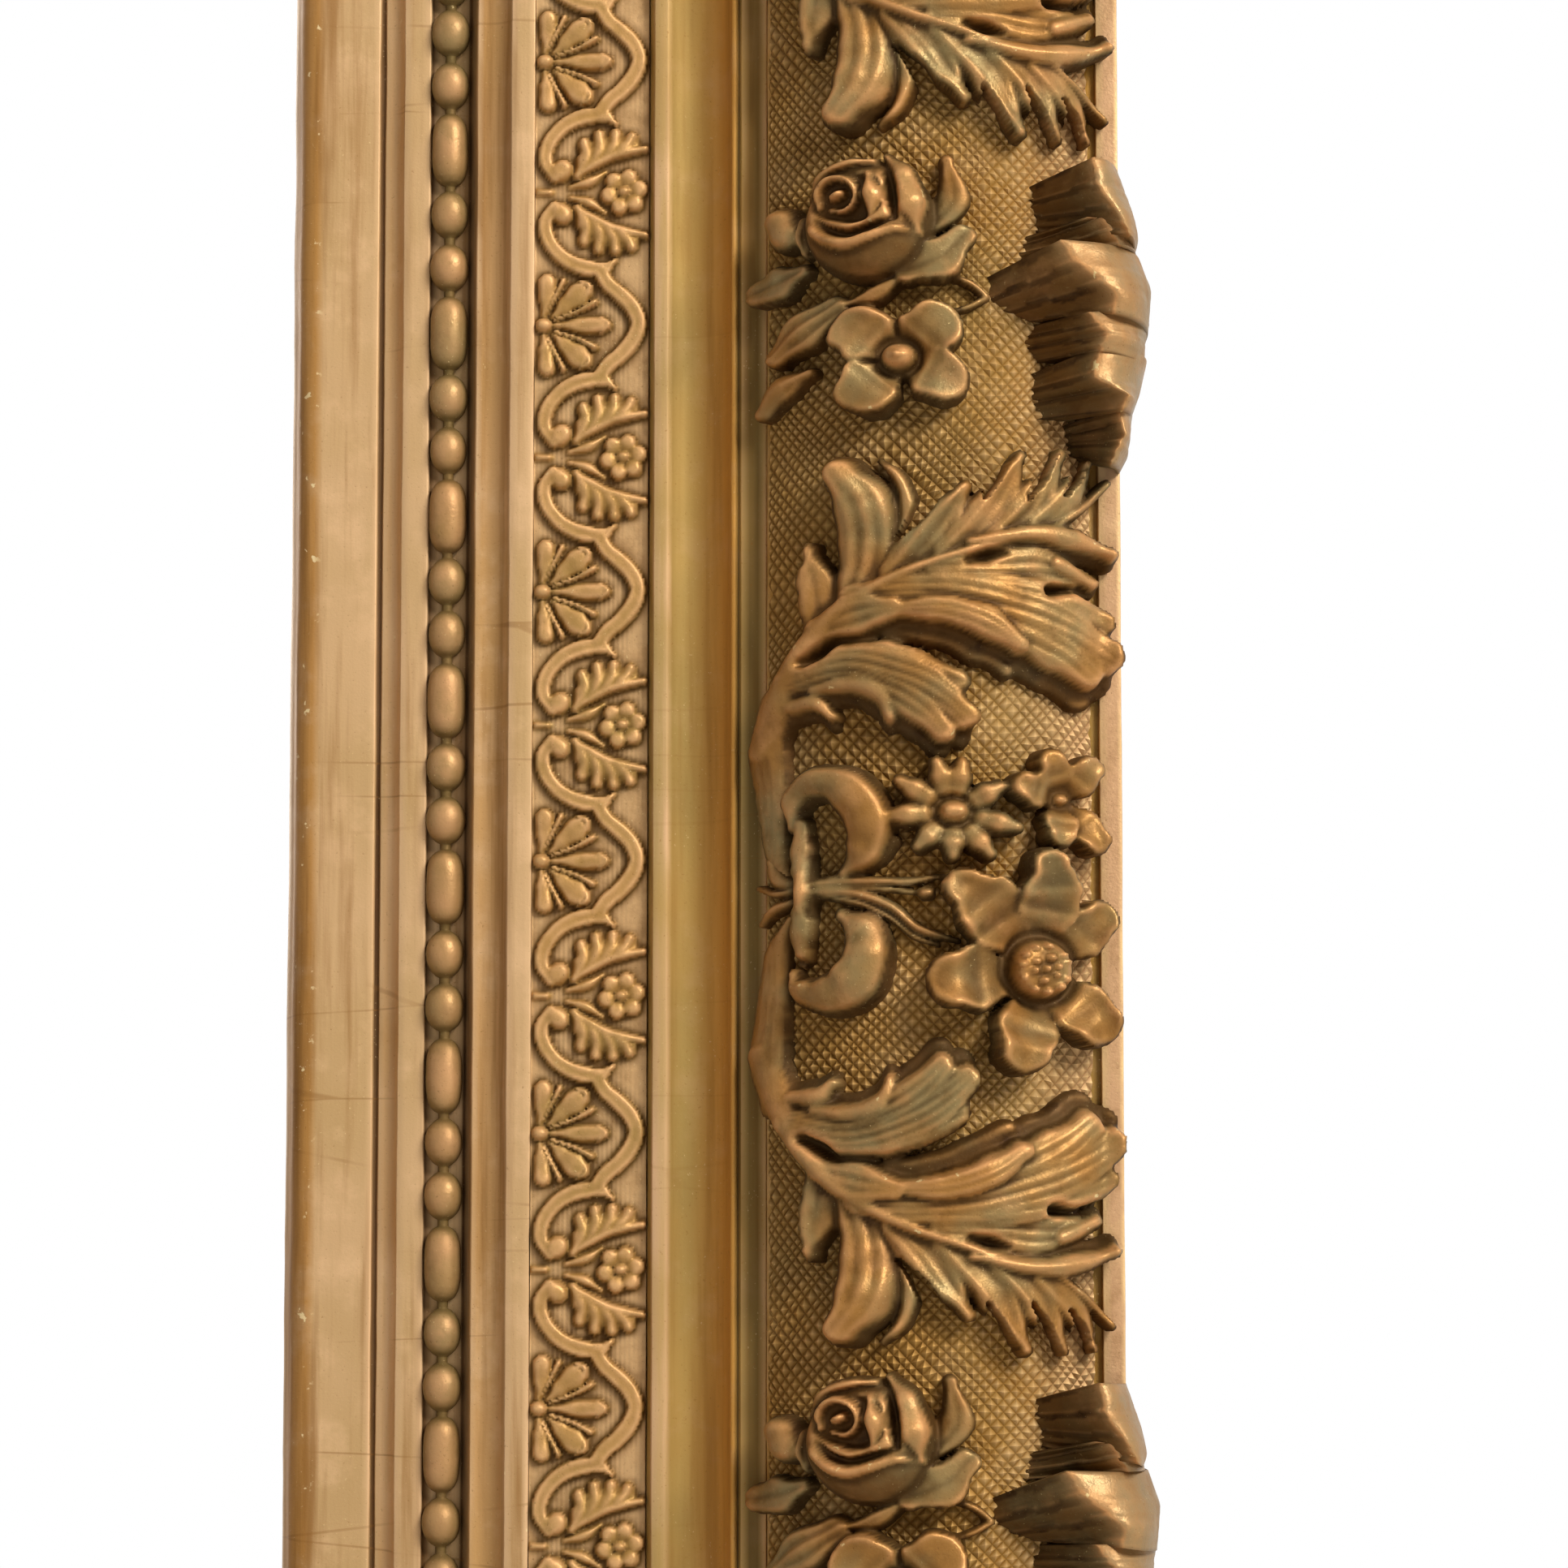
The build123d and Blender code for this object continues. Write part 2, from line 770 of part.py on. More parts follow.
def edge_shell():
    start = rail_width - shell_length
    middle = (shell_finger_count - 1) / 2
    with BuildPart() as shell:
        with BuildSketch(front_plane.offset(edge_height - shell_lip_drop)):
            for i in range(shell_finger_count):
                station = i - middle
                share = abs(station) / middle
                base = (start + 9 * share, 0.75 * station * shell_finger_spacing)
                tip = (rail_width + shell_overhang * (1 - share**2), station * shell_finger_spacing)
                add(lobe(base, tip, shell_finger_width / 2, shell_finger_width / 2))
        extrude(amount=front_reach)
        crest = rail_width - 0.3 * shell_length
        add(shell_section(foliage_half, start, crest, rail_width + shell_overhang), mode=Mode.INTERSECT)
        add(torus_core, mode=Mode.SUBTRACT)
    return shell.part


def corner_ornament():
    # Shell and rose on the mitre, drawn from the sight corner: (u of one rail, u of the other).
    half = sight_height / 2
    middle = (corner_finger_count - 1) / 2
    reach = rail_width + shell_overhang
    root = rail_width - shell_length
    rose_place = torus_start + corner_rose_inset
    leaf_tip = (rose_place + corner_leaf_length, rose_place - corner_leaf_length)
    with BuildPart() as mitred_torus:
        add(torus_prism(half + rail_width))
        add(mitre_block(half), mode=Mode.INTERSECT)
    with BuildPart() as torus_corner:
        add(Location((0, 0, -half)) * mitred_torus.part)
        add(Rot(0, -90, 0) * Location((0, 0, half)) * mitred_torus.part)
    with BuildPart() as ornament:
        with BuildSketch(front_plane.offset(edge_height - shell_lip_drop)):
            for i in range(corner_finger_count):
                angle = radians(45 + (i - middle) * corner_finger_angle)
                length = min((reach - root) / max(cos(angle), sin(angle)), corner_shell_length)
                tip = (root + length * cos(angle), root + length * sin(angle))
                add(lobe((root, root), tip, shell_finger_width / 2, shell_finger_width / 2))
        extrude(amount=shell_lip_drop + shell_crest_rise)
        with BuildSketch(front_plane.offset(shadow_height)):
            add(lobe((rose_place, rose_place), leaf_tip, 4, 4))
            add(lobe((rose_place, rose_place), (leaf_tip[1], leaf_tip[0]), 4, 4))
        extrude(amount=torus_crest_height + stem_relief - shadow_height)
        with Locations(front_point(rose_place, rose_place, torus_height(rose_place) + 1)):
            Sphere(rose_radius, rotation=(90, 0, 0))
        add(torus_corner.part, mode=Mode.SUBTRACT)
    return Location((sight_width / 2, 0, sight_height / 2)) * ornament.part


def hanger_screw_places(name):
    # Screw centres on the ledge of a side rail, as (u, s) below the hanger's barrel.
    up = 1 if name == "right" else -1
    ledge_middle = rabbet_width + ledge_width / 2
    first = hanger_offset - hanger_screw_first
    return [(ledge_middle, up * first), (ledge_middle, up * (first - hanger_screw_spacing))]


def hanger_plate(up):
    # Strap with a rolled barrel at its upper end, seated on the ledge.
    ledge_middle = rabbet_width + ledge_width / 2
    plate_back = ledge_height - plate_thickness
    barrel_plane = Plane(
        origin=front_point(ledge_middle - plate_width / 2, up * hanger_offset, ledge_height - barrel_diameter / 2),
        x_dir=(0, 0, 1),
        z_dir=(1, 0, 0),
    )
    with BuildPart() as plate:
        with BuildSketch(front_plane.offset(plate_back)):
            with Locations((ledge_middle, up * (hanger_offset - plate_length / 2))):
                RectangleRounded(plate_width, plate_length, plate_width / 4)
        extrude(amount=plate_thickness)
        with BuildSketch(barrel_plane):
            Circle(barrel_diameter / 2)
        extrude(amount=plate_width)
        with BuildSketch(barrel_plane):
            Circle(ring_wire / 2 + ring_bore_clearance)
        extrude(amount=plate_width, mode=Mode.SUBTRACT)
        for u, s in hanger_screw_places("right" if up > 0 else "left"):
            hole = countersunk_screw(
                hanger_screw_diameter, hanger_screw_head, plate_thickness, hanger_screw_length,
                plate_thickness, screw_hole_clearance,
            )
            add(Location(front_point(u, s, plate_back)) * hole, mode=Mode.SUBTRACT)
    return plate.part


def hanger_ring():
    # Closed wire ring: straight bar through the barrel, two legs and a round bow.
    ledge_middle = rabbet_width + ledge_width / 2
    leg = plate_width / 2 + ring_side_clearance + ring_wire / 2
    ring_plane = front_plane.offset(ledge_height - barrel_diameter / 2)
    bow = hanger_offset - ring_leg
    left = ledge_middle - leg
    right = ledge_middle + leg
    with BuildPart() as ring:
        with BuildLine(ring_plane):
            Line((left, hanger_offset), (right, hanger_offset))
            Line((right, hanger_offset), (right, bow))
            ThreePointArc((right, bow), (ledge_middle, bow - leg), (left, bow))
            Line((left, bow), (left, hanger_offset))
        wire_start = front_point(left, bow, ledge_height - barrel_diameter / 2)
        with BuildSketch(Plane(origin=wire_start, z_dir=(0, 0, 1))):
            Circle(ring_wire / 2)
        sweep(transition=Transition.RIGHT)
    return ring.part


def turn_button(s, parked):
    # Rounded brass bar on the ledge, parked along the rail beside the strip.
    span = button_reach - button_width / 2
    with BuildPart() as button:
        with BuildSketch(front_plane.offset(ledge_height - button_gap - button_thickness)):
            with Locations((button_pivot, s + parked * span / 2)):
                SlotCenterToCenter(span, button_width, rotation=90)
            with Locations((button_pivot, s)):
                Circle(button_screw_diameter / 2 + button_screw_clearance, mode=Mode.SUBTRACT)
        extrude(amount=button_thickness)
    return button.part


def button_screw(s):
    # Round-head screw that keeps a turn-button on the ledge.
    head_seat = ledge_height - 2 * button_gap - button_thickness
    radius = button_screw_diameter / 2
    with BuildPart() as screw:
        with BuildSketch(section_plane):
            with BuildLine():
                TangentArc(
                    (0, head_seat - button_head_height),
                    (button_head_diameter / 2, head_seat),
                    tangent=(1, 0),
                )
                Polyline(
                    (button_head_diameter / 2, head_seat),
                    (radius, head_seat),
                    (radius, ledge_height + button_screw_length),
                    (0, ledge_height + button_screw_length),
                    (0, head_seat - button_head_height),
                )
            make_face()
        revolve(axis=Axis((0, 0, 0), (0, -1, 0)))
    return Location(front_point(button_pivot, s, 0)) * screw.part


# Rails, bead strings, lace and foliage, one set for each pair of sides
leaf = scroll_leaf()
bouquet = tie_bouquet()
spray = rose_spray()
shell = edge_shell()
lower_leaf = mirror(leaf, about=Plane.XY)

for pair in (("right", "left"), ("top", "bottom")):
    half = sides[pair[0]]["half"]
    count, pitch = repeats(half, torus_centre, foliage_repeat_target)
    ties = [Location((0, 0, (i - (count - 1) / 2) * pitch)) for i in range(count)]
    shells = [Location((0, 0, (i - count / 2) * pitch)) for i in range(1, count)]
    pieces = {
        "back_strip": back_strip(half),
        "sight_rail": sight_rail(half),
        "cove_rail": cove_rail(half),
        "torus_rail": torus_rail(half),
        "bead_string": bead_string(half),
        "lace_strip": lace_strip(half),
        "scroll_leaves": Compound([tie * half_leaf for tie in ties for half_leaf in (leaf, lower_leaf)]),
        "tie_bouquets": Compound([tie * bouquet for tie in ties]),
        "rose_sprays": Compound([place * spray for place in shells]),
        "edge_shells": Compound([place * shell for place in shells]),
    }
    for name in pair:
        place = side_location(sides[name])
        keep(place * back_rail(half, name), f"back_rail_{name}")
        for piece, part in pieces.items():
            keep(place * part, f"{piece}_{name}")

# Corners
corner = corner_ornament()
corners = [corner, mirror(corner, about=Plane.YZ)]
corners += [mirror(part, about=Plane.XY) for part in corners]
keep(Compound([Location((0, 0, -origin_drop)) * part for part in corners]), "corner_ornaments")

# Mitre keys and assembly screws
with BuildPart() as key_pair:
    for level in (back_front - key_setback - key_thickness, back_front + key_setback):
        with BuildSketch(front_plane.offset(level)):
            for end in (1, -1):
                add(key_outline(sight_height / 2, end))
        extrude(amount=key_thickness)
keep(Compound([side_location(sides[name]) * key_pair.part for name in ("right", "left")]), "mitre_keys")

screws = []
for side in sides.values():
    for u, s, length in assembly_places(side["half"]):
        screw = countersunk_screw(screw_diameter, screw_head_diameter, screw_head_height, length, 0, 0)
        screws.append(side_location(side) * Location(front_point(u, s, screw_head_sink)) * screw)
keep(Compound(screws), "assembly_screws")

# Turn-buttons: parked downward on the side rails and sideways on the others
button_screws = []
for name, side in sides.items():
    place = side_location(side)
    for s in button_stations(name):
        end = {1: "_upper", -1: "_lower", 0: ""}[(s > 0) - (s < 0)]
        if name == "left":
            end = {"_upper": "_lower", "_lower": "_upper"}[end]
        keep(place * turn_button(s, 1 if name == "left" else -1), f"turn_button_{name}{end}")
        button_screws.append(place * button_screw(s))
keep(Compound(button_screws), "turn_button_screws")

# Hangers on the side rails
ring = hanger_ring()
hanger_screws = []
for name, up in (("right", 1), ("left", -1)):
    place = side_location(sides[name])
    keep(place * hanger_plate(up), f"hanger_plate_{name}")
    keep(place * (ring if up > 0 else mirror(ring, about=Plane.XY)), f"hanger_ring_{name}")
    for u, s in hanger_screw_places(name):
        screw = countersunk_screw(
            hanger_screw_diameter, hanger_screw_head, plate_thickness, hanger_screw_length, 0, 0
        )
        seat = Location(front_point(u, s, ledge_height - plate_thickness))
        hanger_screws.append(place * seat * screw)
keep(Compound(hanger_screws), "hanger_screws")
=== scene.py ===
import math
import bpy
import numpy as np
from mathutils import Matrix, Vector


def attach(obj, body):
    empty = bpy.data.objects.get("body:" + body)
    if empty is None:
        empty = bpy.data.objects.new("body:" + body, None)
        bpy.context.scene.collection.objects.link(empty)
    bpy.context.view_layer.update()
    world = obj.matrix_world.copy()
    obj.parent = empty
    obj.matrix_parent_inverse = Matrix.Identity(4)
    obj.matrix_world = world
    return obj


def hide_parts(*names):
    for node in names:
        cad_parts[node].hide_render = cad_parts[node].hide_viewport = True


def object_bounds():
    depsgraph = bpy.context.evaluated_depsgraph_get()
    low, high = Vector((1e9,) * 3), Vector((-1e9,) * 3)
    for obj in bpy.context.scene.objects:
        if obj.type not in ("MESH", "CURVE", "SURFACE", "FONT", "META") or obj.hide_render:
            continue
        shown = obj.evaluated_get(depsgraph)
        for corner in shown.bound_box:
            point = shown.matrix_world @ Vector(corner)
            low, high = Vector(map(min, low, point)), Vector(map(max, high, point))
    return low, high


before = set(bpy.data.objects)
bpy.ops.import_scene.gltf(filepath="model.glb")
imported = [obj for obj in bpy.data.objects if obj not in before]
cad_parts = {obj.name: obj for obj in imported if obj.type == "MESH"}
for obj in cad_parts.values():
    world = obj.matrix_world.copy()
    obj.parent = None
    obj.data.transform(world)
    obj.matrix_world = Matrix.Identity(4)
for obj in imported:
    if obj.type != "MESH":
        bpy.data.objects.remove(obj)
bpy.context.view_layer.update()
print("frame loaded:", len(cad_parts), "nodes")

# Places across a rail (u from the sight edge), heights (h from the wall) and s along it, in mm
mm = 0.001
opening = {"width": 494.0, "height": 748.0, "drop": 478.0}
torus = {"start": 106.0, "end": 175.3, "foot": 67.0, "edge": 72.0, "sagitta": 15.0, "fillet": 73.5}
uprightRail = {"offset": opening["width"] / 2, "half": opening["height"] / 2}
levelRail = {"offset": opening["height"] / 2, "half": opening["width"] / 2}
sides = {
    "right": dict(uprightRail, turn=0, seed=3),
    "left": dict(uprightRail, turn=180, seed=5),
    "top": dict(levelRail, turn=-90, seed=7),
    "bottom": dict(levelRail, turn=90, seed=9),
}
torusRun, torusRise = torus["end"] - torus["start"], torus["edge"] - torus["foot"]
chord = math.hypot(torusRun, torusRise)
torusRadius = chord ** 2 / (8 * torus["sagitta"]) + torus["sagitta"] / 2
torusFall = torusRadius - torus["sagitta"]
torusMiddle = (torus["start"] + torus["end"]) / 2
centreU = torusMiddle + torusFall * torusRise / chord
centreH = (torus["foot"] + torus["edge"]) / 2 - torusFall * torusRun / chord


def toWorld(side, u, s, h):
    x = side["offset"] + u
    c, k = (round(part(math.radians(side["turn"]))) for part in (math.cos, math.sin))
    return np.stack([x * c + s * k, -h + 0 * x, s * c - x * k - opening["drop"]], -1) * mm


def step(low, high, x):
    t = np.clip((x - low) / (high - low), 0, 1)
    return t * t * (3 - 2 * t)


def smoothNoise(x, y, cell, seed):
    size = 64
    table = np.random.default_rng(seed).random((size, size))
    gx, gy = np.asarray(x) / cell, np.asarray(y) / cell
    ix, iy = np.floor(gx).astype(int), np.floor(gy).astype(int)
    fx, fy = step(0, 1, gx - ix), step(0, 1, gy - iy)
    at = lambda i, j: table[(ix + i) % size, (iy + j) % size]
    return (at(0, 0) * (1 - fx) + at(1, 0) * fx) * (1 - fy) + (at(0, 1) * (1 - fx) + at(1, 1) * fx) * fy


def bumps(x, y, cell, seed):
    return smoothNoise(x, y, cell, seed) - 0.5


# Point at height r above the torus, along its normal, which leans less on the outer half
slant = {"most": 0.93, "outer": 0.3, "overEdge": (-5, 3), "clear": 0.2}


def onTorus(u, r):
    reach = np.clip((u - centreU) / torusRadius, -slant["most"], slant["most"])
    h = centreH + torusRadius * np.sqrt(1 - reach ** 2)
    over = step(torus["end"] + slant["overEdge"][0], torus["end"] + slant["overEdge"][1], u)
    h = np.maximum(h * (1 - over) + (torus["fillet"] + slant["clear"]) * over, h)
    lean = np.where(reach > 0, slant["outer"] * np.tanh(reach / slant["outer"]), reach)
    return u + lean * r, h + np.sqrt(1 - lean ** 2) * r


# A gilded piece: points, sets of faces, (along, across, rows) for the bake, and painted layers
bakeMargin = {"along": 0.01, "across": 0.02}


def makePiece(name, points, faceSets, slotName, nodes, bake, layers, flow=None, flatFrom=None):
    mesh = bpy.data.meshes.new(name)
    points = np.reshape(points, (-1, 3))
    mesh.vertices.add(len(points))
    mesh.vertices.foreach_set("co", np.ascontiguousarray(points, np.float32).ravel())
    corners = np.concatenate([np.asarray(f, np.int32).ravel() for f in faceSets])
    counts = np.concatenate([np.full(len(f), np.asarray(f).shape[1]) for f in faceSets])
    mesh.loops.add(len(corners))
    mesh.loops.foreach_set("vertex_index", corners)
    mesh.polygons.add(len(counts))
    mesh.polygons.foreach_set("loop_start", np.concatenate([[0], np.cumsum(counts)[:-1]]).astype(np.int32))
    mesh.polygons.foreach_set("use_smooth", np.arange(len(counts)) < (flatFrom or len(counts)))
    mesh.update(calc_edges=True)
    for label, values in layers.items():
        attribute = mesh.attributes.new(label, "FLOAT", "POINT")
        attribute.data.foreach_set("value", np.ascontiguousarray(values, np.float32).ravel())
    along, across, rows = np.ravel(bake[0])[corners], np.ravel(bake[1])[corners], bake[2]
    faceOf = np.repeat(np.arange(len(counts)), counts)
    row = np.clip(np.floor(np.bincount(faceOf, along) / counts * rows), 0, rows - 1)[faceOf]
    edge, side = bakeMargin["along"], bakeMargin["across"]
    coords = np.empty((len(corners), 2), np.float32)
    coords[:, 0] = edge + (1 - 2 * edge) * np.clip(along * rows - row, 0, 1)
    coords[:, 1] = (row + side + (1 - 2 * side) * np.clip(across, 0, 1)) / rows
    mesh.uv_layers.new(name="OFBake").data.foreach_set("uv", coords.ravel())
    if flow is not None:
        attribute = mesh.attributes.new("flow", "FLOAT_VECTOR", "POINT")
        attribute.data.foreach_set("vector", np.ascontiguousarray(flow, np.float32).ravel())
    mesh.validate()
    piece = bpy.data.objects.new(name, mesh)
    bpy.context.scene.collection.objects.link(piece)
    mesh.materials.append(finishes[slotName])
    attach(piece, "frame")
    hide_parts(*nodes)


def fourCorners(grid):
    return [grid[:-1, :-1], grid[1:, :-1], grid[1:, 1:], grid[:-1, 1:]]


def gridQuads(rows, columns, closed=False):
    index = np.arange(rows * columns).reshape(rows, columns)
    if closed:
        index = np.hstack([index, index[:, :1]])
    return np.stack(fourCorners(index), -1).reshape(-1, 4)


# Materials
def startFinish(name):
    material = bpy.data.materials.new(name)
    material.use_nodes = True
    tree = material.node_tree
    tree.nodes.clear()
    shader = tree.nodes.new("ShaderNodeBsdfPrincipled")
    tree.links.new(shader.outputs[0], tree.nodes.new("ShaderNodeOutputMaterial").inputs[0])
    return material, tree, shader, tree.nodes.new("ShaderNodeTexCoord").outputs["Object"]


def toLinear(colour):
    values = [c / 255 for c in colour]
    return [v / 12.92 if v < 0.04045 else ((v + 0.055) / 1.055) ** 2.4 for v in values] + [1.0]


def stretched(tree, place, scale):
    mapping = tree.nodes.new("ShaderNodeMapping")
    mapping.inputs["Scale"].default_value = scale
    tree.links.new(place, mapping.inputs[0])
    return mapping.outputs[0]


def noiseNode(tree, place, scale, detail=4.0, rough=0.55):
    noise = tree.nodes.new("ShaderNodeTexNoise")
    for label, value in (("Scale", scale), ("Detail", detail), ("Roughness", rough)):
        noise.inputs[label].default_value = value
    tree.links.new(place, noise.inputs["Vector"])
    return noise.outputs["Fac"]


def rampNode(tree, source, low, high, outLow=0.0, outHigh=1.0):
    ramp = tree.nodes.new("ShaderNodeMapRange")
    ramp.interpolation_type = "SMOOTHSTEP"
    for label, value in (("From Min", low), ("From Max", high), ("To Min", outLow), ("To Max", outHigh)):
        ramp.inputs[label].default_value = value
    tree.links.new(source, ramp.inputs["Value"])
    return ramp.outputs[0]


def plug(tree, socket, value):
    if isinstance(value, (int, float, list, tuple)):
        socket.default_value = value
    else:
        tree.links.new(value, socket)


def mathNode(tree, operation, a, b):
    node = tree.nodes.new("ShaderNodeMath")
    node.operation = operation
    node.use_clamp = True
    plug(tree, node.inputs[0], a)
    plug(tree, node.inputs[1], b)
    return node.outputs[0]


def mixNode(tree, factor, a, b):
    node = tree.nodes.new("ShaderNodeMix")
    node.data_type = "RGBA"
    tree.links.new(factor, node.inputs[0])
    plug(tree, node.inputs[6], a)
    plug(tree, node.inputs[7], b)
    return node.outputs[2]


def bumpNode(tree, shader, height, strength, distance):
    bump = tree.nodes.new("ShaderNodeBump")
    bump.inputs["Strength"].default_value = strength
    bump.inputs["Distance"].default_value = distance
    tree.links.new(height, bump.inputs["Height"])
    tree.links.new(bump.outputs[0], shader.inputs["Normal"])


# Aged gilding: toned leaf, rubbed where it stands out with painted highlight on some bands and lit sides,
# grime with painted shade in hollows and on faces turned from the light, a tint that paints warm glow and lit
# colour, with chips, specks and fine cracks
gildNoise = {  # scale, detail and roughness
    "patches": (75, 4, 0.6), "mottle": (170, 5, 0.6), "streaks": (260, 4, 0.55), "grain": (1500, 3, 0.6),
    "chips": (300, 3, 0.6),
}
streakStretch, crackStretch = (1.0, 0.05, 1.0), (6.0, 60.0, 1.0)


def gilding(name, look):
    material, tree, shader, place = startFinish(name)
    layer = {}
    for label in ("wear", "cavity", "tone", "chip", "flow"):
        node = tree.nodes.new("ShaderNodeAttribute")
        node.attribute_name = label
        layer[label] = node.outputs["Vector" if label == "flow" else "Fac"]
    ramp = lambda *span: rampNode(tree, *span)
    times = lambda a, b: mathNode(tree, "MULTIPLY", a, b)
    most = lambda a, b: mathNode(tree, "MAXIMUM", a, b)
    plus = lambda a, b: mathNode(tree, "ADD", a, b)
    laid = lambda factor, shade: mixNode(tree, factor, colour, toLinear(look[shade]))
    broad = noiseNode(tree, place, look.get("broad", 22), 3)
    patches = noiseNode(tree, place, *gildNoise["patches"])
    mottle = noiseNode(tree, place, *gildNoise["mottle"])
    grain = noiseNode(tree, place, *gildNoise["grain"])
    if look.get("streaked"):
        mottle = noiseNode(tree, stretched(tree, layer["flow"], streakStretch), *gildNoise["streaks"])
    colour = toLinear(look["base"])
    colour = laid(ramp(broad, 0.35, 0.68), "cool")
    # Painted light where the tint layer says: a warm glow on hollows and faces turned from the light, lighter
    # colour on lit sides and tops, and a plain tint on the outer fillet
    if look.get("warm"):
        colour = laid(layer["tone"], "warm")
    colour = laid(ramp(patches, 0.5, 0.72, 0, look["patch"]), "bright")
    colour = laid(ramp(mottle, 0.42, 0.75, 0, look["mottle"]), "dark")
    # Raised edges lighten as wear; bands and lit sides marked in the same layer lighten as painted highlight
    colour = laid(times(layer["wear"], ramp(mottle, 0.25, 0.62, 0.25, 1)), "bright")
    # Hollows and faces turned from the light darken here: grime with painted shade
    colour = laid(times(layer["cavity"], ramp(mottle, 0.2, 0.6, 1, 0.75)), "grime")
    exposed = most(layer["chip"], ramp(layer["wear"], look["chip"], look["chip"] + 0.2))
    chipped = times(ramp(noiseNode(tree, place, *gildNoise["chips"]), 0.66, 0.7), exposed)
    specks = times(ramp(grain, 0.66, 0.74), ramp(broad, 0.42, 0.6, 0.1, 0.6))
    colour = laid(most(specks, chipped), "loss")
    dust = times(ramp(grain, 0.36, 0.28), 0.45)
    if look.get("streaked"):
        cells = tree.nodes.new("ShaderNodeTexVoronoi")
        cells.feature = "DISTANCE_TO_EDGE"
        cells.inputs["Scale"].default_value = 1.0
        tree.links.new(stretched(tree, layer["flow"], crackStretch), cells.inputs["Vector"])
        crack = ramp(cells.outputs["Distance"], 0.014, 0.004)
        dust = most(dust, times(crack, ramp(broad, 0.5, 0.62, 0, look["cracks"])))
    tree.links.new(laid(dust, "dark"), shader.inputs["Base Color"])
    shader.inputs["Metallic"].default_value = look["metallic"]
    shader.inputs["Specular IOR Level"].default_value = 0.15
    rough = ramp(mottle, 0.3, 0.7, look["rough"] - 0.07, look["rough"] + 0.1)
    tree.links.new(plus(rough, times(layer["cavity"], 0.2)), shader.inputs["Roughness"])
    bumpNode(tree, shader, plus(times(grain, 0.35), times(mottle, 0.65)), look["bump"], 0.0012)
    return material


gildLooks = {
    "gilded_sight_moulding": {
        "base": (208, 172, 126), "cool": (194, 160, 110), "warm": (206, 148, 70), "dark": (146, 102, 50),
        "bright": (228, 190, 144), "grime": (66, 34, 2), "loss": (236, 212, 160), "patch": 0.55,
        "mottle": 0.75, "metallic": 0.22, "rough": 0.48, "bump": 0.14, "chip": 0.85, "streaked": True,
        "cracks": 0.45},
    "gilded_cove": {
        "base": (186, 152, 84), "cool": (176, 148, 84), "warm": (206, 150, 70), "dark": (150, 102, 42),
        "bright": (226, 186, 142), "grime": (62, 42, 20), "loss": (230, 204, 150), "patch": 0.15,
        "mottle": 0.5, "metallic": 0.22, "rough": 0.5, "bump": 0.1, "chip": 0.9, "streaked": True,
        "cracks": 0.12},
    "gilded_hatching": {
        "base": (184, 138, 62), "cool": (170, 136, 72), "warm": (206, 164, 122), "dark": (120, 84, 30),
        "bright": (238, 202, 144), "grime": (82, 48, 8), "loss": (232, 206, 150), "patch": 0.3,
        "mottle": 0.4, "metallic": 0.24, "rough": 0.48, "bump": 0.25, "chip": 0.95},
    "gilded_beads": {
        "base": (168, 130, 80), "cool": (148, 126, 80), "dark": (104, 80, 40),
        "bright": (212, 162, 114), "grime": (82, 66, 28), "loss": (232, 208, 150), "patch": 0.35,
        "mottle": 0.5, "metallic": 0.3, "rough": 0.42, "bump": 0.2, "chip": 0.85},
    "gilded_lace": {
        "base": (172, 131, 70), "cool": (158, 126, 68), "warm": (212, 174, 126), "dark": (118, 82, 32),
        "bright": (212, 166, 112), "grime": (76, 48, 10), "loss": (230, 206, 152), "patch": 0.3,
        "mottle": 0.4, "metallic": 0.28, "rough": 0.44, "bump": 0.2, "chip": 0.92},
    "gilded_foliage": {
        "base": (158, 113, 56), "cool": (142, 123, 80), "warm": (147, 127, 90), "dark": (96, 62, 18),
        "bright": (208, 154, 98), "grime": (52, 30, 6), "loss": (224, 198, 140), "patch": 0.5,
        "mottle": 0.5, "metallic": 0.34, "rough": 0.4, "bump": 0.25, "chip": 0.45, "broad": 45},
}


woodNoise = {"rings": (230, 3, 0.45), "fibre": (900, 3, 0.6), "stains": (14, 4, 0.6)}
metalNoise = {"patches": (120, 5, 0.6), "spots": (900, 4, 0.65)}


def woodFinish(name, look, stretch):
    material, tree, shader, place = startFinish(name)
    fibres = stretched(tree, place, stretch)
    rings = noiseNode(tree, fibres, *woodNoise["rings"])
    fibre = noiseNode(tree, fibres, *woodNoise["fibre"])
    stains = noiseNode(tree, place, *woodNoise["stains"])
    colour = mixNode(tree, rampNode(tree, rings, 0.35, 0.65), toLinear(look["early"]), toLinear(look["late"]))
    colour = mixNode(tree, rampNode(tree, fibre, 0.5, 0.8, 0, 0.5), colour, toLinear(look["pore"]))
    colour = mixNode(tree, rampNode(tree, stains, 0.45, 0.75, 0, 0.45), colour, toLinear(look["stain"]))
    tree.links.new(colour, shader.inputs["Base Color"])
    tree.links.new(rampNode(tree, rings, 0.3, 0.7, 0.62, 0.78), shader.inputs["Roughness"])
    low, high = mathNode(tree, "MULTIPLY", rings, 0.4), mathNode(tree, "MULTIPLY", fibre, 0.6)
    bumpNode(tree, shader, mathNode(tree, "ADD", low, high), 0.35, 0.001)
    return material


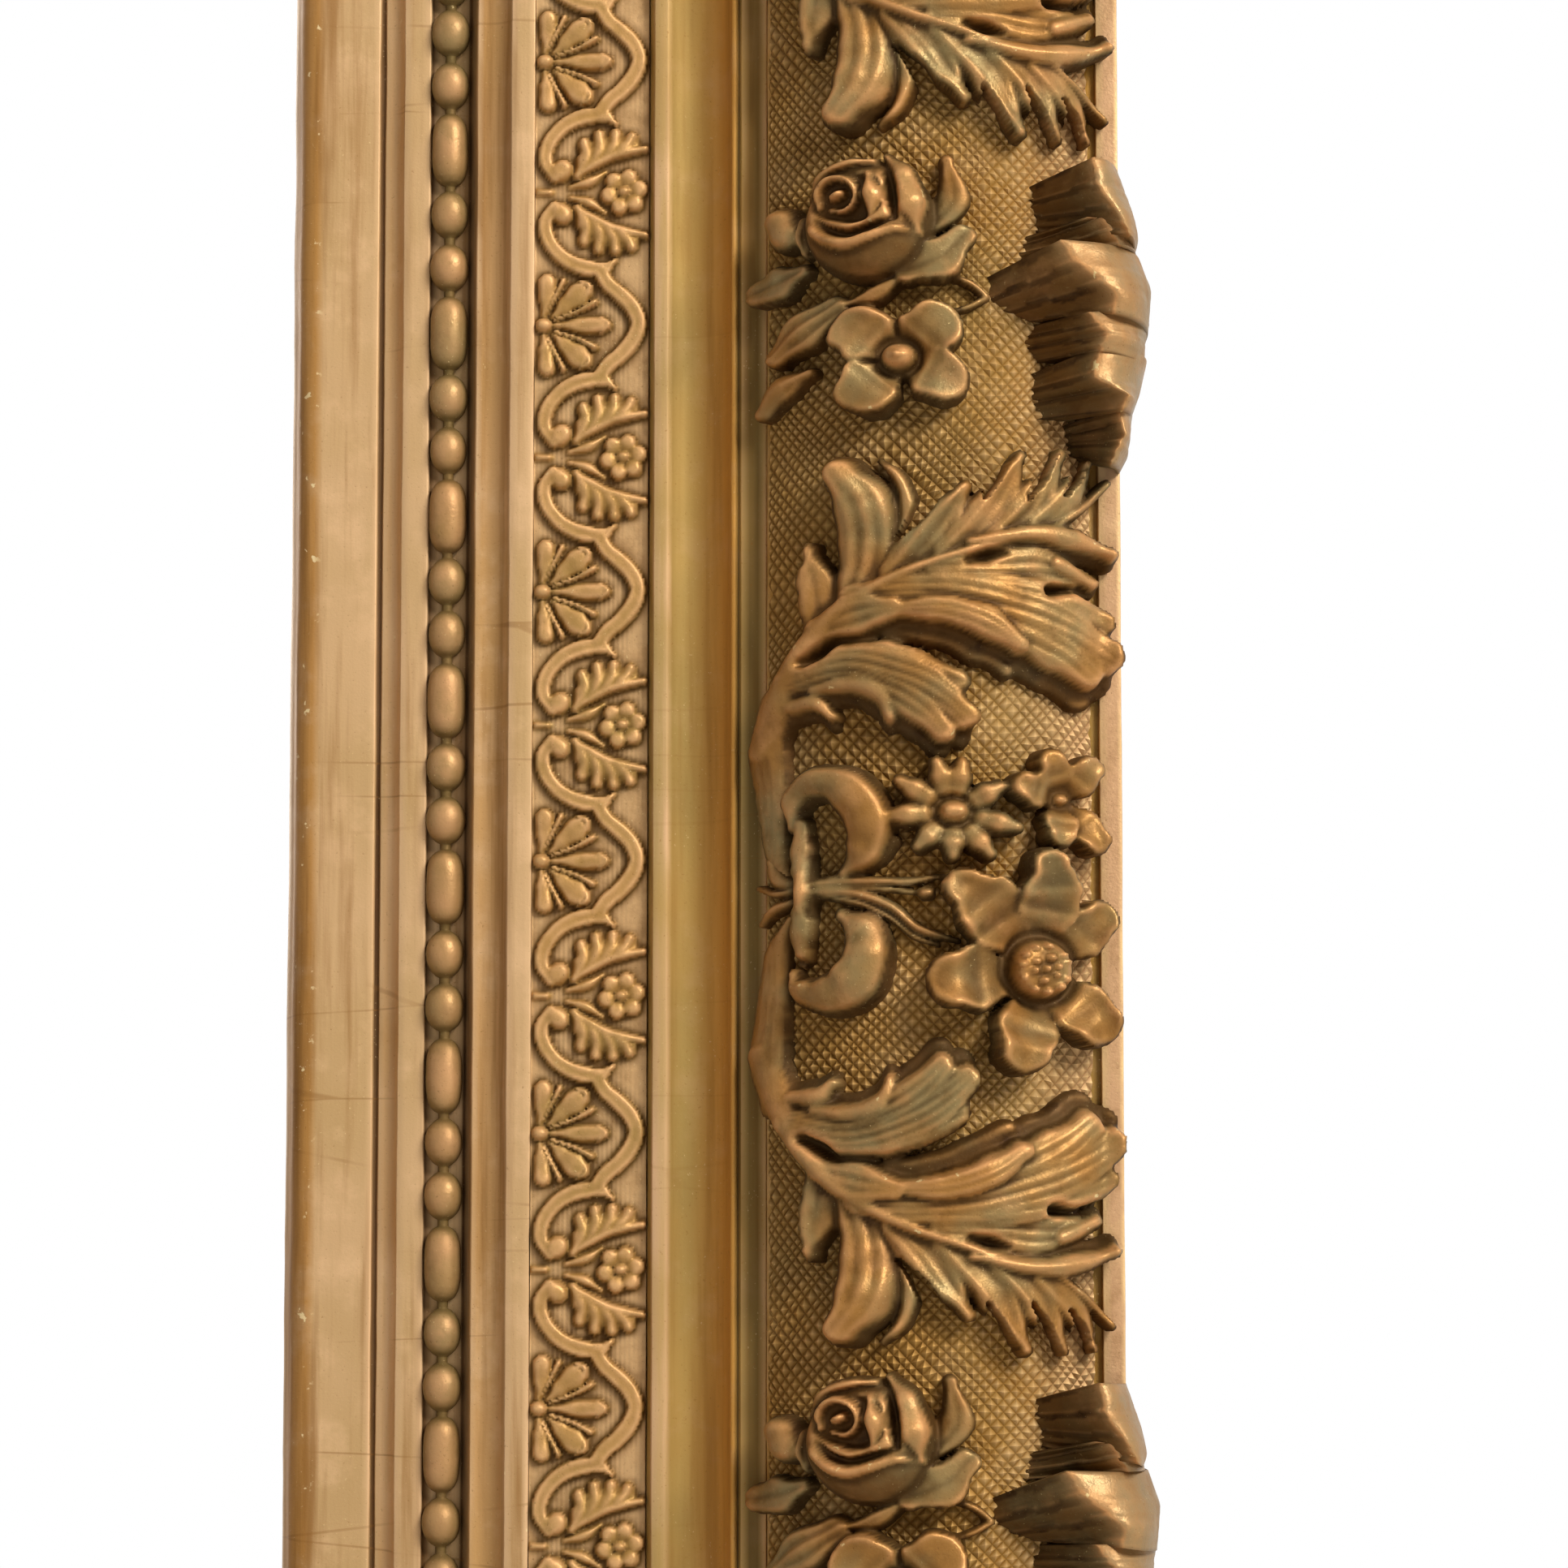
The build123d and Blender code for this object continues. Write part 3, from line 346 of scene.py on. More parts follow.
def metalFinish(name, look):
    material, tree, shader, place = startFinish(name)
    patches = noiseNode(tree, place, *metalNoise["patches"])
    spots = noiseNode(tree, place, *metalNoise["spots"])
    dulled = rampNode(tree, patches, 0.38, 0.68)
    colour = mixNode(tree, dulled, toLinear(look["base"]), toLinear(look["dull"]))
    colour = mixNode(tree, rampNode(tree, spots, 0.58, 0.72, 0, 0.7), colour, toLinear(look["tarnish"]))
    tree.links.new(colour, shader.inputs["Base Color"])
    shader.inputs["Metallic"].default_value = 0.85
    rough = rampNode(tree, patches, 0.3, 0.7, look["rough"] - 0.08, look["rough"] + 0.14)
    tree.links.new(rough, shader.inputs["Roughness"])
    bumpNode(tree, shader, spots, 0.2, 0.0006)
    return material


pine = {"early": (198, 158, 108), "late": (166, 118, 72), "pore": (128, 88, 54), "stain": (122, 84, 54)}
hardwood = {"early": (150, 106, 66), "late": (118, 78, 46), "pore": (80, 52, 30), "stain": (92, 64, 42)}
brass = {"base": (196, 156, 84), "dull": (150, 116, 62), "tarnish": (84, 66, 38), "rough": 0.36}
steel = {"base": (150, 148, 144), "dull": (110, 106, 100), "tarnish": (88, 62, 42), "rough": 0.42}
fibreRun = {"level": (0.025, 1.0, 1.0), "upright": (1.0, 1.0, 0.025)}
finishes = {name: gilding(name, look) for name, look in gildLooks.items()}
finishes["bare_pine"] = woodFinish("bare_pine", pine, fibreRun["upright"])
finishes["pineLevel"] = woodFinish("pineLevel", pine, fibreRun["level"])
finishes["hardwood"] = woodFinish("hardwood", hardwood, fibreRun["level"])
finishes["brass_hardware"] = metalFinish("brass_hardware", brass)
finishes["steel_screws"] = metalFinish("steel_screws", steel)
print("materials:", len(finishes))


# Mouldings: closed outlines in (u, h), softened at the corners, swept along the rail and mitred
def arcThrough(start, middle, end, count=14):
    (ax, ay), (bx, by), (cx, cy) = start, middle, end
    a, b, c = (x ** 2 + y ** 2 for x, y in (start, middle, end))
    d = 2 * (ax * (by - cy) + bx * (cy - ay) + cx * (ay - by))
    ux = (a * (by - cy) + b * (cy - ay) + c * (ay - by)) / d
    uy = (a * (cx - bx) + b * (ax - cx) + c * (bx - ax)) / d
    radius = math.hypot(ax - ux, ay - uy)
    a0, a1, a2 = (math.atan2(y - uy, x - ux) for x, y in (start, middle, end))
    turn = lambda a, b: (b - a) % (2 * math.pi)
    sweep = turn(a0, a2) if turn(a0, a1) < turn(a0, a2) else turn(a0, a2) - 2 * math.pi
    angles = [a0 + sweep * i / count for i in range(count + 1)]
    return [(ux + radius * math.cos(angle), uy + radius * math.sin(angle)) for angle in angles]


def quarter(start, end, hollow):
    k = math.sin(math.radians(45))
    run, rise = (k, 1 - k) if hollow else (1 - k, k)
    middle = (start[0] + (end[0] - start[0]) * run, start[1] + (end[1] - start[1]) * rise)
    return arcThrough(start, middle, end)


# Points are kept where the outline bends, or at the longest gap
outlineGrain = {"spacing": 0.25, "softness": 0.26, "around": 7, "gap": 1.5, "bend": 0.16}


def softOutline(corners):
    spacing, softness, around = (outlineGrain[key] for key in ("spacing", "softness", "around"))
    corners = np.array(corners + corners[:1], float)
    corners = corners[np.concatenate([[True], np.hypot(*np.diff(corners, axis=0).T) > 1e-6])]
    length = np.concatenate([[0], np.cumsum(np.hypot(*np.diff(corners, axis=0).T))])
    count = int(length[-1] / spacing)
    at = np.linspace(0, length[-1], count, endpoint=False)
    dense = np.stack([np.interp(at, length, corners[:, k]) for k in (0, 1)], -1)
    reach = int(4 * softness / spacing) + 1
    offsets = np.arange(-reach, reach + 1)
    weights = np.exp(-0.5 * (offsets * spacing / softness) ** 2)
    weights /= weights.sum()
    soft = sum(w * np.roll(dense, -o, axis=0) for o, w in zip(offsets, weights))
    wide = sum(np.roll(soft, -o, axis=0) for o in range(-around, around + 1)) / (2 * around + 1)
    tangent = np.roll(soft, -1, axis=0) - np.roll(soft, 1, axis=0)
    normal = np.stack([-tangent[:, 1], tangent[:, 0]], -1)
    normal /= np.linalg.norm(normal, axis=1)[:, None]
    bulge = ((soft - wide) * normal).sum(1)
    turning = np.abs(np.cross(np.roll(tangent, -1, axis=0), tangent))
    turning = turning / (np.linalg.norm(tangent, axis=1) ** 2 + 1e-9)
    keep, since, bend = [], 99.0, 0.0
    for i in range(count):
        since += spacing
        bend += turning[i]
        if since > outlineGrain["gap"] or bend > outlineGrain["bend"]:
            keep.append(i)
            since, bend = 0.0, 0.0
    return soft[keep], normal[keep], bulge[keep]


# Bands across a rail: begins, full from, full to, ends, amount
bands = {
    # Painted shade: the flat at the torus foot, in the torus's shadow, and the channel wall beside the beads
    "soot": [(99.4, 100.4, 105.9, 106.2, 1.25), (39.6, 40.2, 41.8, 42.4, 1.3)],
    # Painted shade on the nose, which faces away from the light, and a painted dark line where it meets the
    # flat
    "frontSoot": [(0.2, 1.0, 6.9, 7.1, 0.24), (6.4, 6.8, 7.1, 7.5, 0.4)],
    # Painted highlight on the cove's fillet and the small hollow; the negative entry takes the rubbed
    # lightness off the astragal
    "polish": [(81.2, 81.6, 84.3, 84.7, 0.7), (21.4, 22.4, 25.2, 25.8, 1.1), (97.6, 98.2, 99.6, 100, -1.0)],
    # Painted warm glow on the cove's right side, which faces away from the light; the outer fillet beyond the
    # hatching gets its own tint
    "tone": [(88, 96, 98.6, 99.8, 1.0), (176.4, 177, 900, 901, 1.0)],
    # Painted warm glow on the nose and the two hollows of the sight moulding, faces turned from the light
    "frontTone": [(0.2, 1.0, 6.9, 7.1, 0.75), (21, 22, 25.2, 25.6, 0.45), (41, 42, 49, 49.6, 0.4)],
    "frontChip": [(1.8, 3, 6.4, 7.4, 1.0)],
}
railSpacing = 7.0


def banded(kind, u):
    return sum(amount * step(begin, full, u) * step(end, until, u)
               for begin, full, until, end, amount in bands[kind])


def sweepRail(side, outline, unevenness, seed, soil=1.0):
    points, normals, bulge = outline
    across, half, n = points[:, 0], side["half"], len(points)
    front = normals[:, 1] > -0.2  # the faces that are not turned to the wall
    stations = np.linspace(-1, 1, int(2 * (half + across.max()) / railSpacing))
    t, u = np.meshgrid(stations, across, indexing="ij")
    s = t * (half + u)
    arc = np.cumsum(np.concatenate([[0], np.hypot(*np.diff(points, axis=0).T)]))
    spread = lambda values: np.broadcast_to(values, t.shape)
    wobble = bumps(s, spread(arc), 19, seed) + 0.6 * bumps(s, spread(arc), 6, seed + 1)
    inner = np.clip(1.02 - np.abs(t), 0, 0.02) / 0.02
    shift = wobble * unevenness * inner
    u2, h2 = u + normals[:, 0] * shift, points[:, 1] + normals[:, 1] * shift
    # Raised edges are rubbed lighter and the highlight bands add painted highlight; hollows darken with grime
    # and the shade bands add painted shade
    rubAndHighlight = np.clip(np.clip(bulge * 5 - 0.6, 0, 1) + banded("polish", across), 0, 1)
    shadedGrimed = soil * np.clip(-bulge * 4 - 0.6 + banded("soot", across), 0, 1)
    return {
        "points": toWorld(side, u2, t * (half + u2), h2).reshape(-1, 3),
        "faces": [gridQuads(len(stations), n, closed=True)[:, ::-1], np.arange(n)[None, :],
                  (np.arange(n) + (len(stations) - 1) * n)[None, ::-1]],
        "layers": {
            "wear": spread(rubAndHighlight) * np.clip(0.2 + 1.1 * smoothNoise(s, u, 14, seed + 2), 0, 1),
            "cavity": spread(np.clip(shadedGrimed + front * banded("frontSoot", across), 0, 1)),
            "tone": spread(banded("tone", across) + front * banded("frontTone", across)),
            "chip": spread(banded("frontChip", across) * front)},
        "along": (t + 1) / 2,
        "across": spread(arc / arc[-1]),
        "flow": np.stack([spread(arc), s, np.full(t.shape, seed * 7.0)], -1) * mm,
    }


sight = {
    "lip": (0.0, 29.0), "nose": (1.7, 33.5), "flat": (7.1, 38.0), "quirk": (19.7, 21.0, 37.0),
    "small": (25.4, 42.0), "beads": (31.3, 39.9, 40.5), "ledge": (42.0, 47.0), "hollow": (49.7, 52.0),
    "lace": (54.9, 80.0, 50.2), "back": 28.0, "rabbet": 8.0,
}
cove = {
    "foot": (80.0, 50.2), "fillet": (81.3, 84.3, 55.0), "dip": (89.8, 52.8), "top": (98.1, 63.0),
    "astragal": (98.8, 63.7, 99.5), "flat": (100.2, 106.0, 62.5), "back": 28.0,
}
torusEdge = {
    "groove": (175.3, 176.7, 71.7), "fillet": 73.5, "rim": 181.5, "sideTop": 66.0, "sideFoot": 52.0,
    "side": 174.0, "back": 28.0, "sink": 0.45,  # the rail lies this deep under the hatching
}


def sightShape(lip, nose, flat, quirk, small, beads, ledge, hollow, lace, back, rabbet):
    corners = [lip] + quarter(nose, flat, False)
    corners += [(quirk[0], flat[1]), (quirk[0] + 0.1, quirk[2]), (quirk[1] - 0.1, quirk[2])]
    corners += quarter((quirk[1], flat[1]), small, True)
    corners += [(beads[0], small[1]), (beads[0] + 0.1, beads[2]), (beads[1], beads[2])]
    corners += quarter(ledge, hollow, True)
    corners += [(lace[0], hollow[1]), (lace[0] + 0.1, lace[2]), (lace[1], lace[2])]
    return corners + [(lace[1], back), (rabbet, back), (rabbet, lip[1])]


def coveShape(foot, fillet, dip, top, astragal, flat, back):
    corners = [(foot[0], back), foot, (fillet[0], fillet[2])]
    corners += arcThrough((fillet[1], fillet[2]), dip, top, 22)
    corners += arcThrough(top, astragal[:2], (astragal[2], top[1]), 8)
    corners += [(flat[0] - 0.5, flat[2] - 0.8), (flat[0] + 0.2, flat[2])]
    return corners + [(flat[1], flat[2]), (flat[1], back)]


def torusShape(groove, fillet, rim, sideTop, sideFoot, side, back, sink):
    foot, crest = (torus["start"], torus["foot"] - sink), (centreU, centreH + torusRadius - sink)
    corners = [(side, back), (torus["start"], back), foot]
    corners += arcThrough(foot, crest, (torus["end"], torus["edge"] - sink), 40)[1:]
    corners += [(groove[0], groove[2]), (groove[1], groove[2]), (groove[1], fillet)]
    corners += [(rim, fillet), (rim, sideTop)]
    return corners + quarter((side, sideFoot), (rim, sideTop), True)[::-1]


sightOutline, coveOutline = softOutline(sightShape(**sight)), softOutline(coveShape(**cove))
mouldings = {
    "sight_rail": {"outline": sightOutline, "slot": "gilded_sight_moulding", "uneven": 0.22},
    "cove_rail": {"outline": coveOutline, "slot": "gilded_cove", "uneven": 0.16},
}
for name, side in sides.items():
    for kind, item in mouldings.items():
        rail = sweepRail(side, item["outline"], item["uneven"], side["seed"] * 10)
        makePiece(f"{kind}_{name}_gilt", rail["points"], rail["faces"], item["slot"], [f"{kind}_{name}"],
                  (rail["along"], rail["across"], 3), rail["layers"], flow=rail["flow"])
print("mouldings swept")

# Hatched torus: two families of cut grooves leave small four-sided studs
hatch = {
    "pitch": 1.95, "jitter": 0.22, "height": 0.55, "groove": 0.1, "margin": 0.2, "uneven": 0.16, "soil": 0.4,
}
arcStart = math.asin((torus["start"] + hatch["margin"] - centreU) / torusRadius)
arcEnd = math.asin((torus["end"] - hatch["margin"] - centreU) / torusRadius)
arcLength = (arcEnd - arcStart) * torusRadius
torusOutline = softOutline(torusShape(**torusEdge))


def hatching(side):
    rng, seed, pitch = np.random.default_rng(side["seed"]), side["seed"], hatch["pitch"]
    reach = side["half"] + torus["end"] + 8
    count = int((reach * 2 + arcLength) / math.sqrt(2) / pitch) + 4
    lines = []
    for _ in range(2):
        line = np.cumsum(pitch * (1 + hatch["jitter"] * rng.normal(size=count).clip(-1.6, 1.6)))
        lines.append(line - (line[0] + reach / math.sqrt(2)))
    a, b = np.meshgrid(*lines, indexing="ij")
    wave = 0.5 * bumps(a, b, 11, seed + 40)
    w, s = (a + b) / math.sqrt(2) + wave, (a - b) / math.sqrt(2) + wave
    u = centreU + torusRadius * np.sin(arcStart + np.clip(w, 0, arcLength) / torusRadius)
    limit = side["half"] + u
    inside = (w > -pitch) & (w < arcLength + pitch) & (np.abs(s) < limit + pitch)
    ci, cj = np.nonzero(np.logical_and.reduce(fourCorners(inside)))
    w, s = np.clip(w, 0, arcLength), np.clip(s, -limit, limit)
    apexW = sum(fourCorners(w))[ci, cj] / 4 + rng.normal(size=len(ci)) * 0.07
    apexS = sum(fourCorners(s))[ci, cj] / 4 + rng.normal(size=len(ci)) * 0.07
    size = np.abs((w[1:, 1:] - w[:-1, :-1])[ci, cj]) / (pitch * 1.41)
    worn = 0.55 + 0.6 * smoothNoise(apexW, apexS, 9, seed + 60)
    worn = np.clip(worn + rng.normal(size=len(ci)) * 0.12, 0.25, 1.25)
    apexR = hatch["height"] * np.clip(size, 0.1, 1.3) * worn
    used = np.zeros(w.shape, bool)
    for grid in fourCorners(used):
        grid[ci, cj] = True
    number = np.full(w.shape, -1)
    number[used] = np.arange(used.sum())
    allW, allS = np.concatenate([w[used], apexW]), np.concatenate([s[used], apexS])
    grooves = -hatch["groove"] - 0.25 * smoothNoise(w[used], s[used], 7, seed + 70)
    allR = torusRadius + np.concatenate([grooves, apexR])
    angle = arcStart + allW / torusRadius
    allU, allH = centreU + allR * np.sin(angle), centreH + allR * np.cos(angle)
    corner, apex = [grid[ci, cj] for grid in fourCorners(number)], used.sum() + np.arange(len(ci))
    # Painted highlight: studs lighten towards the outer side of the torus, where the light falls, over patchy
    # wear. Painted shade: grooves darken towards the inner side, with grime
    rubAndHighlight = 0.2 + 0.8 * step(0.55, 0.9, apexW / arcLength) + 0.55 * smoothNoise(apexW, apexS, 16, seed + 80)
    shadedGrimed = 0.85 - 0.5 * step(0.35, 0.9, w[used] / arcLength)
    return {
        "points": toWorld(side, allU, allS, allH),
        "tris": np.concatenate([np.stack([corner[(k + 1) % 4], corner[k], apex], -1) for k in range(4)]),
        "wear": np.concatenate([np.zeros(used.sum()), np.clip(rubAndHighlight, 0, 1)]),
        "cavity": np.concatenate([shadedGrimed, np.zeros(len(ci))]),
        "along": (allS / (side["half"] + allU) + 1) / 2,
        "across": 0.45 + 0.5 * allW / arcLength,
    }


for name, side in sides.items():
    rail = sweepRail(side, torusOutline, hatch["uneven"], side["seed"] * 10 + 5, hatch["soil"])
    studs = hatching(side)
    # The outer studs take the lighter tint, painted light on the side the light falls on
    studs["tone"] = 0.7 * step(0.8, 0.95, studs["across"])
    both = lambda ground, key: np.concatenate([ground.ravel(), studs[key]])
    faces = rail["faces"] + [studs["tris"] + len(rail["points"])]
    makePiece(f"torus_rail_{name}_gilt", np.concatenate([rail["points"], studs["points"]]), faces,
              "gilded_hatching", [f"torus_rail_{name}"],
              (both(rail["along"], "along"), both(rail["across"] * 0.42, "across"), 4),
              {key: both(rail["layers"][key], key) for key in ("wear", "cavity", "tone")},
              flatFrom=sum(len(f) for f in rail["faces"]))
print("torus hatched")

# Bead strings: a barrel and two round beads on thin necks in each repeat
bead = {
    "centre": 35.6, "floor": 40.6, "radius": 4.15, "barrel": 16.5, "neck": 1.0, "neckRadius": 1.2,
    "rise": 1.3, "target": 40.5, "rings": 18, "open": 0.68,  # the ring stops short of the channel's floor
}
barrelShape = {"swell": 1.0, "rings": 17, "power": 3.2, "root": 2.4}
roundShape = {"swell": 1.02, "rings": 13, "power": 2.1, "root": 2.0}


def repeats(half, across, target):
    length = 2 * (half + across)
    return round(length / target), length / round(length / target)


for name, side in sides.items():
    count, pitch = repeats(side["half"], bead["centre"], bead["target"])
    rng = np.random.default_rng(side["seed"] + 100)
    roundLength = (pitch - bead["barrel"] - 3 * bead["neck"]) / 2
    aside = bead["barrel"] / 2 + bead["neck"] + roundLength / 2
    spans = [(0.0, bead["barrel"]), (aside, roundLength), (-aside, roundLength)]
    where, radius = [], []
    for middle, length in sorted((i * pitch + middle, length)
                                 for i in range(-count // 2 - 1, count // 2 + 2) for middle, length in spans):
        shape = barrelShape if length > roundLength + 1 else roundShape
        size = bead["radius"] * rng.uniform(0.95, 1.03) * shape["swell"]
        t = np.sin(np.linspace(-0.5, 0.5, shape["rings"]) * math.pi)
        where.append(middle + rng.normal() * 0.12 + t * length / 2)
        profile = (1 - np.abs(t) ** shape["power"]) ** (1 / shape["root"])
        radius.append(np.maximum(size * profile, bead["neckRadius"]))
    where, radius = np.concatenate(where), np.concatenate(radius)
    around = np.linspace(-bead["open"], bead["open"], bead["rings"]) * math.pi
    s, angle = np.meshgrid(where, around, indexing="ij")
    r = radius[:, None] * (1 + 0.03 * bumps(s, angle * 4, 3, side["seed"] + 110))
    u = bead["centre"] + r * np.sin(angle)
    h = np.maximum(bead["floor"] + bead["rise"] + r * np.cos(angle), bead["floor"] - 0.4)
    limit = side["half"] + u
    s = np.clip(s, -limit, limit)
    quads = gridQuads(*s.shape)[:, ::-1]
    quads = quads[(np.abs(s) < limit).ravel()[quads].any(1)]
    # Each bead darkens off its crown towards the channel, grime with painted shade; the crown lightens as
    # wear
    crown = np.cos(angle) * np.clip((r - 2) / 2, 0, 1)
    wear = np.clip(crown - 0.35, 0, 1) * np.clip(smoothNoise(s, u, 11, side["seed"] + 120) * 1.5, 0, 1)
    makePiece(f"bead_string_{name}_gilt", toWorld(side, u, s, h), [quads], "gilded_beads",
              [f"bead_string_{name}"], (s / limit / 2 + 0.5, (angle / math.pi / bead["open"] + 1) / 2, 6),
              {"wear": wear, "cavity": np.clip(1 - crown * 1.6, 0, 1) * 0.8})
print("beads strung")


# Relief: each lobe is a path with half widths and heights along it, a cross profile and a rounded edge
def lobe(path, width, height=None, **shape):
    if "hole" in shape:
        shape.setdefault("edge", 0.6)
    return dict(shape, path=path, width=width, height=height)


def dot(centre, width, height=None, **shape):
    return lobe([centre, (centre[0] + 0.1, centre[1])], width, height, **shape)


def spline(points, steps=7):
    pts = np.array(points, float)
    if len(pts) == 2:
        return np.linspace(pts[0], pts[1], 3)
    padded = np.vstack([2 * pts[0] - pts[1], pts, 2 * pts[-1] - pts[-2]])
    out = []
    for i in range(len(pts) - 1):
        p0, p1, p2, p3 = padded[i:i + 4]
        for t in np.arange(steps) / steps:
            square, cube = 2 * p0 - 5 * p1 + 4 * p2 - p3, 3 * p1 - p0 - 3 * p2 + p3
            out.append(0.5 * (2 * p1 + (p2 - p0) * t + square * t ** 2 + cube * t ** 3))
    return np.array(out + [pts[-1]])


def nearest(x, y, path):
    best, along, aside = np.full(x.shape, 1e9), np.zeros(x.shape), np.zeros(x.shape)
    spans = np.diff(path, axis=0)
    lengths = np.hypot(*spans.T)
    before = np.concatenate([[0], np.cumsum(lengths)])
    for (ax, ay), (dx, dy), length, start in zip(path, spans, lengths, before):
        t = np.clip(((x - ax) * dx + (y - ay) * dy) / (length ** 2 + 1e-12), 0, 1)
        distance = (ax + t * dx - x) ** 2 + (ay + t * dy - y) ** 2
        closer = distance < best
        best = np.where(closer, distance, best)
        along = np.where(closer, (start + t * length) / before[-1], along)
        aside = np.where(closer, (dx * (y - ay) - dy * (x - ax)) / (length + 1e-9), aside)
    return along, np.sqrt(best), aside


def spread(values, along):
    values = np.atleast_1d(np.array(values, float))
    at = along * (len(values) - 1)
    low = np.clip(np.floor(at).astype(int), 0, max(len(values) - 2, 0))
    f = step(0, 1, at - low)
    return values[low] * (1 - f) + values[np.minimum(low + 1, len(values) - 1)] * f


# Each lobe's darkening value lays grime, patina or painted shade on it
plainLobe = {"crown": 0.25, "edge": 1.2, "tilt": 0.0, "ragged": 0.0, "dirt": 0.0}
skirtLobe = {"crown": 0.2, "edge": 1.6, "dirt": 0.9}  # a low fold beside a lobe that overhangs, painted dark as the shadow under the lobe
grooveWidth = 0.7
raggedEdge = {"cell": 3.8, "seed": 17}
fluteBend = {"cell": 9, "seed": 19, "amount": 1.2}


def relief(lobes, x, y):
    z, dirt = np.zeros(x.shape), np.zeros(x.shape)
    inside = np.full(x.shape, -50.0)
    skirts = []
    # Skirts are low folds beside overhanging lobes, painted dark as their shadow
    for item in lobes:
        if item.get("skirt"):
            dx, dy, drop = item["skirt"]
            path = [(p + dx, q + dy) for p, q in item["path"]]
            skirts.append(lobe(path, item["width"], drop, ragged=item.get("ragged", 0.0), **skirtLobe))
    for item in skirts + lobes:
        item = dict(plainLobe, **item)
        path = spline(item["path"])
        room = max(np.atleast_1d(item["width"])) + 2.5
        low, high = path.min(0) - room, path.max(0) + room
        i0, i1 = np.searchsorted(x[:, 0], (low[0], high[0]))
        j0, j1 = np.searchsorted(y[0, :], (low[1], high[1]))
        if i1 <= i0 or j1 <= j0:
            continue
        part = np.s_[i0:i1, j0:j1]
        bx, by = x[part], y[part]
        along, distance, aside = nearest(bx, by, path)
        half = spread(item["width"], along)
        depth = half - distance + item["ragged"] * bumps(bx, by, raggedEdge["cell"], raggedEdge["seed"])
        q = np.clip(aside / half, -1, 1)
        if item.get("cut"):
            inside[part] = np.where(depth > -1.5, np.minimum(inside[part], -depth), inside[part])
            continue
        if item.get("hole"):
            sink = np.clip(depth / item["edge"], 0, 1)
            sunk = z[part] * (1 - sink) + np.minimum(z[part], item["hole"]) * sink
            z[part] = np.where(depth > 0, sunk, z[part])
            continue
        shape = spread(item["height"], along) * (1 - item["crown"] * q ** 2) + item["tilt"] * q
        if item.get("ripple"):
            bend = fluteBend["amount"] * smoothNoise(bx, by, fluteBend["cell"], fluteBend["seed"])
            flutes = np.cos(q * math.pi * item["flutes"] + bend)
            fade = 0.35 + 0.65 * np.sin(math.pi * np.clip(along * 0.8 + 0.15, 0, 1))
            shape = shape + item["ripple"] * flutes * (1 - q ** 4) * fade
        if item.get("groove"):
            shape = shape - item["groove"] * np.exp(-(aside / grooveWidth) ** 2)
        rim = np.clip(depth / item["edge"], 0, 1)
        shape = shape * np.sqrt(np.maximum(1 - (1 - rim) ** 2, 0))
        over = (depth > 0) & (shape > z[part])
        z[part] = np.where(over, shape, z[part])
        dirt[part] = np.where(over, item["dirt"], dirt[part])
        inside[part] = np.maximum(inside[part], depth)
    return z, inside, dirt


def blur(z, reach):
    for axis in (0, 1):
        pad = [(reach + 1, reach) if k == axis else (0, 0) for k in (0, 1)]
        total = np.cumsum(np.pad(z, pad, mode="edge"), axis=axis)
        size, width = z.shape[axis], 2 * reach + 1
        z = (np.take(total, range(width, width + size), axis) - np.take(total, range(size), axis)) / width
    return z


castGrain = {"broad": (4.5, 0.12), "fine": (1.7, 0.06)}  # cell and height of the casting's unevenness
castEdge = {"drop": -0.7, "cavity": 0.9, "pull": 1.3}  # the outline goes into the rail and is darkened, grime with painted shade where the motif meets the ground
castReach = {"detail": 1.4, "broad": 4.0}
castSeed = {
    "upperLeaf": 201, "lowerLeaf": 203, "bouquet": 211, "roseSpray": 221, "shell": 231, "cornerRose": 241,
    "cornerFan": 251,
}


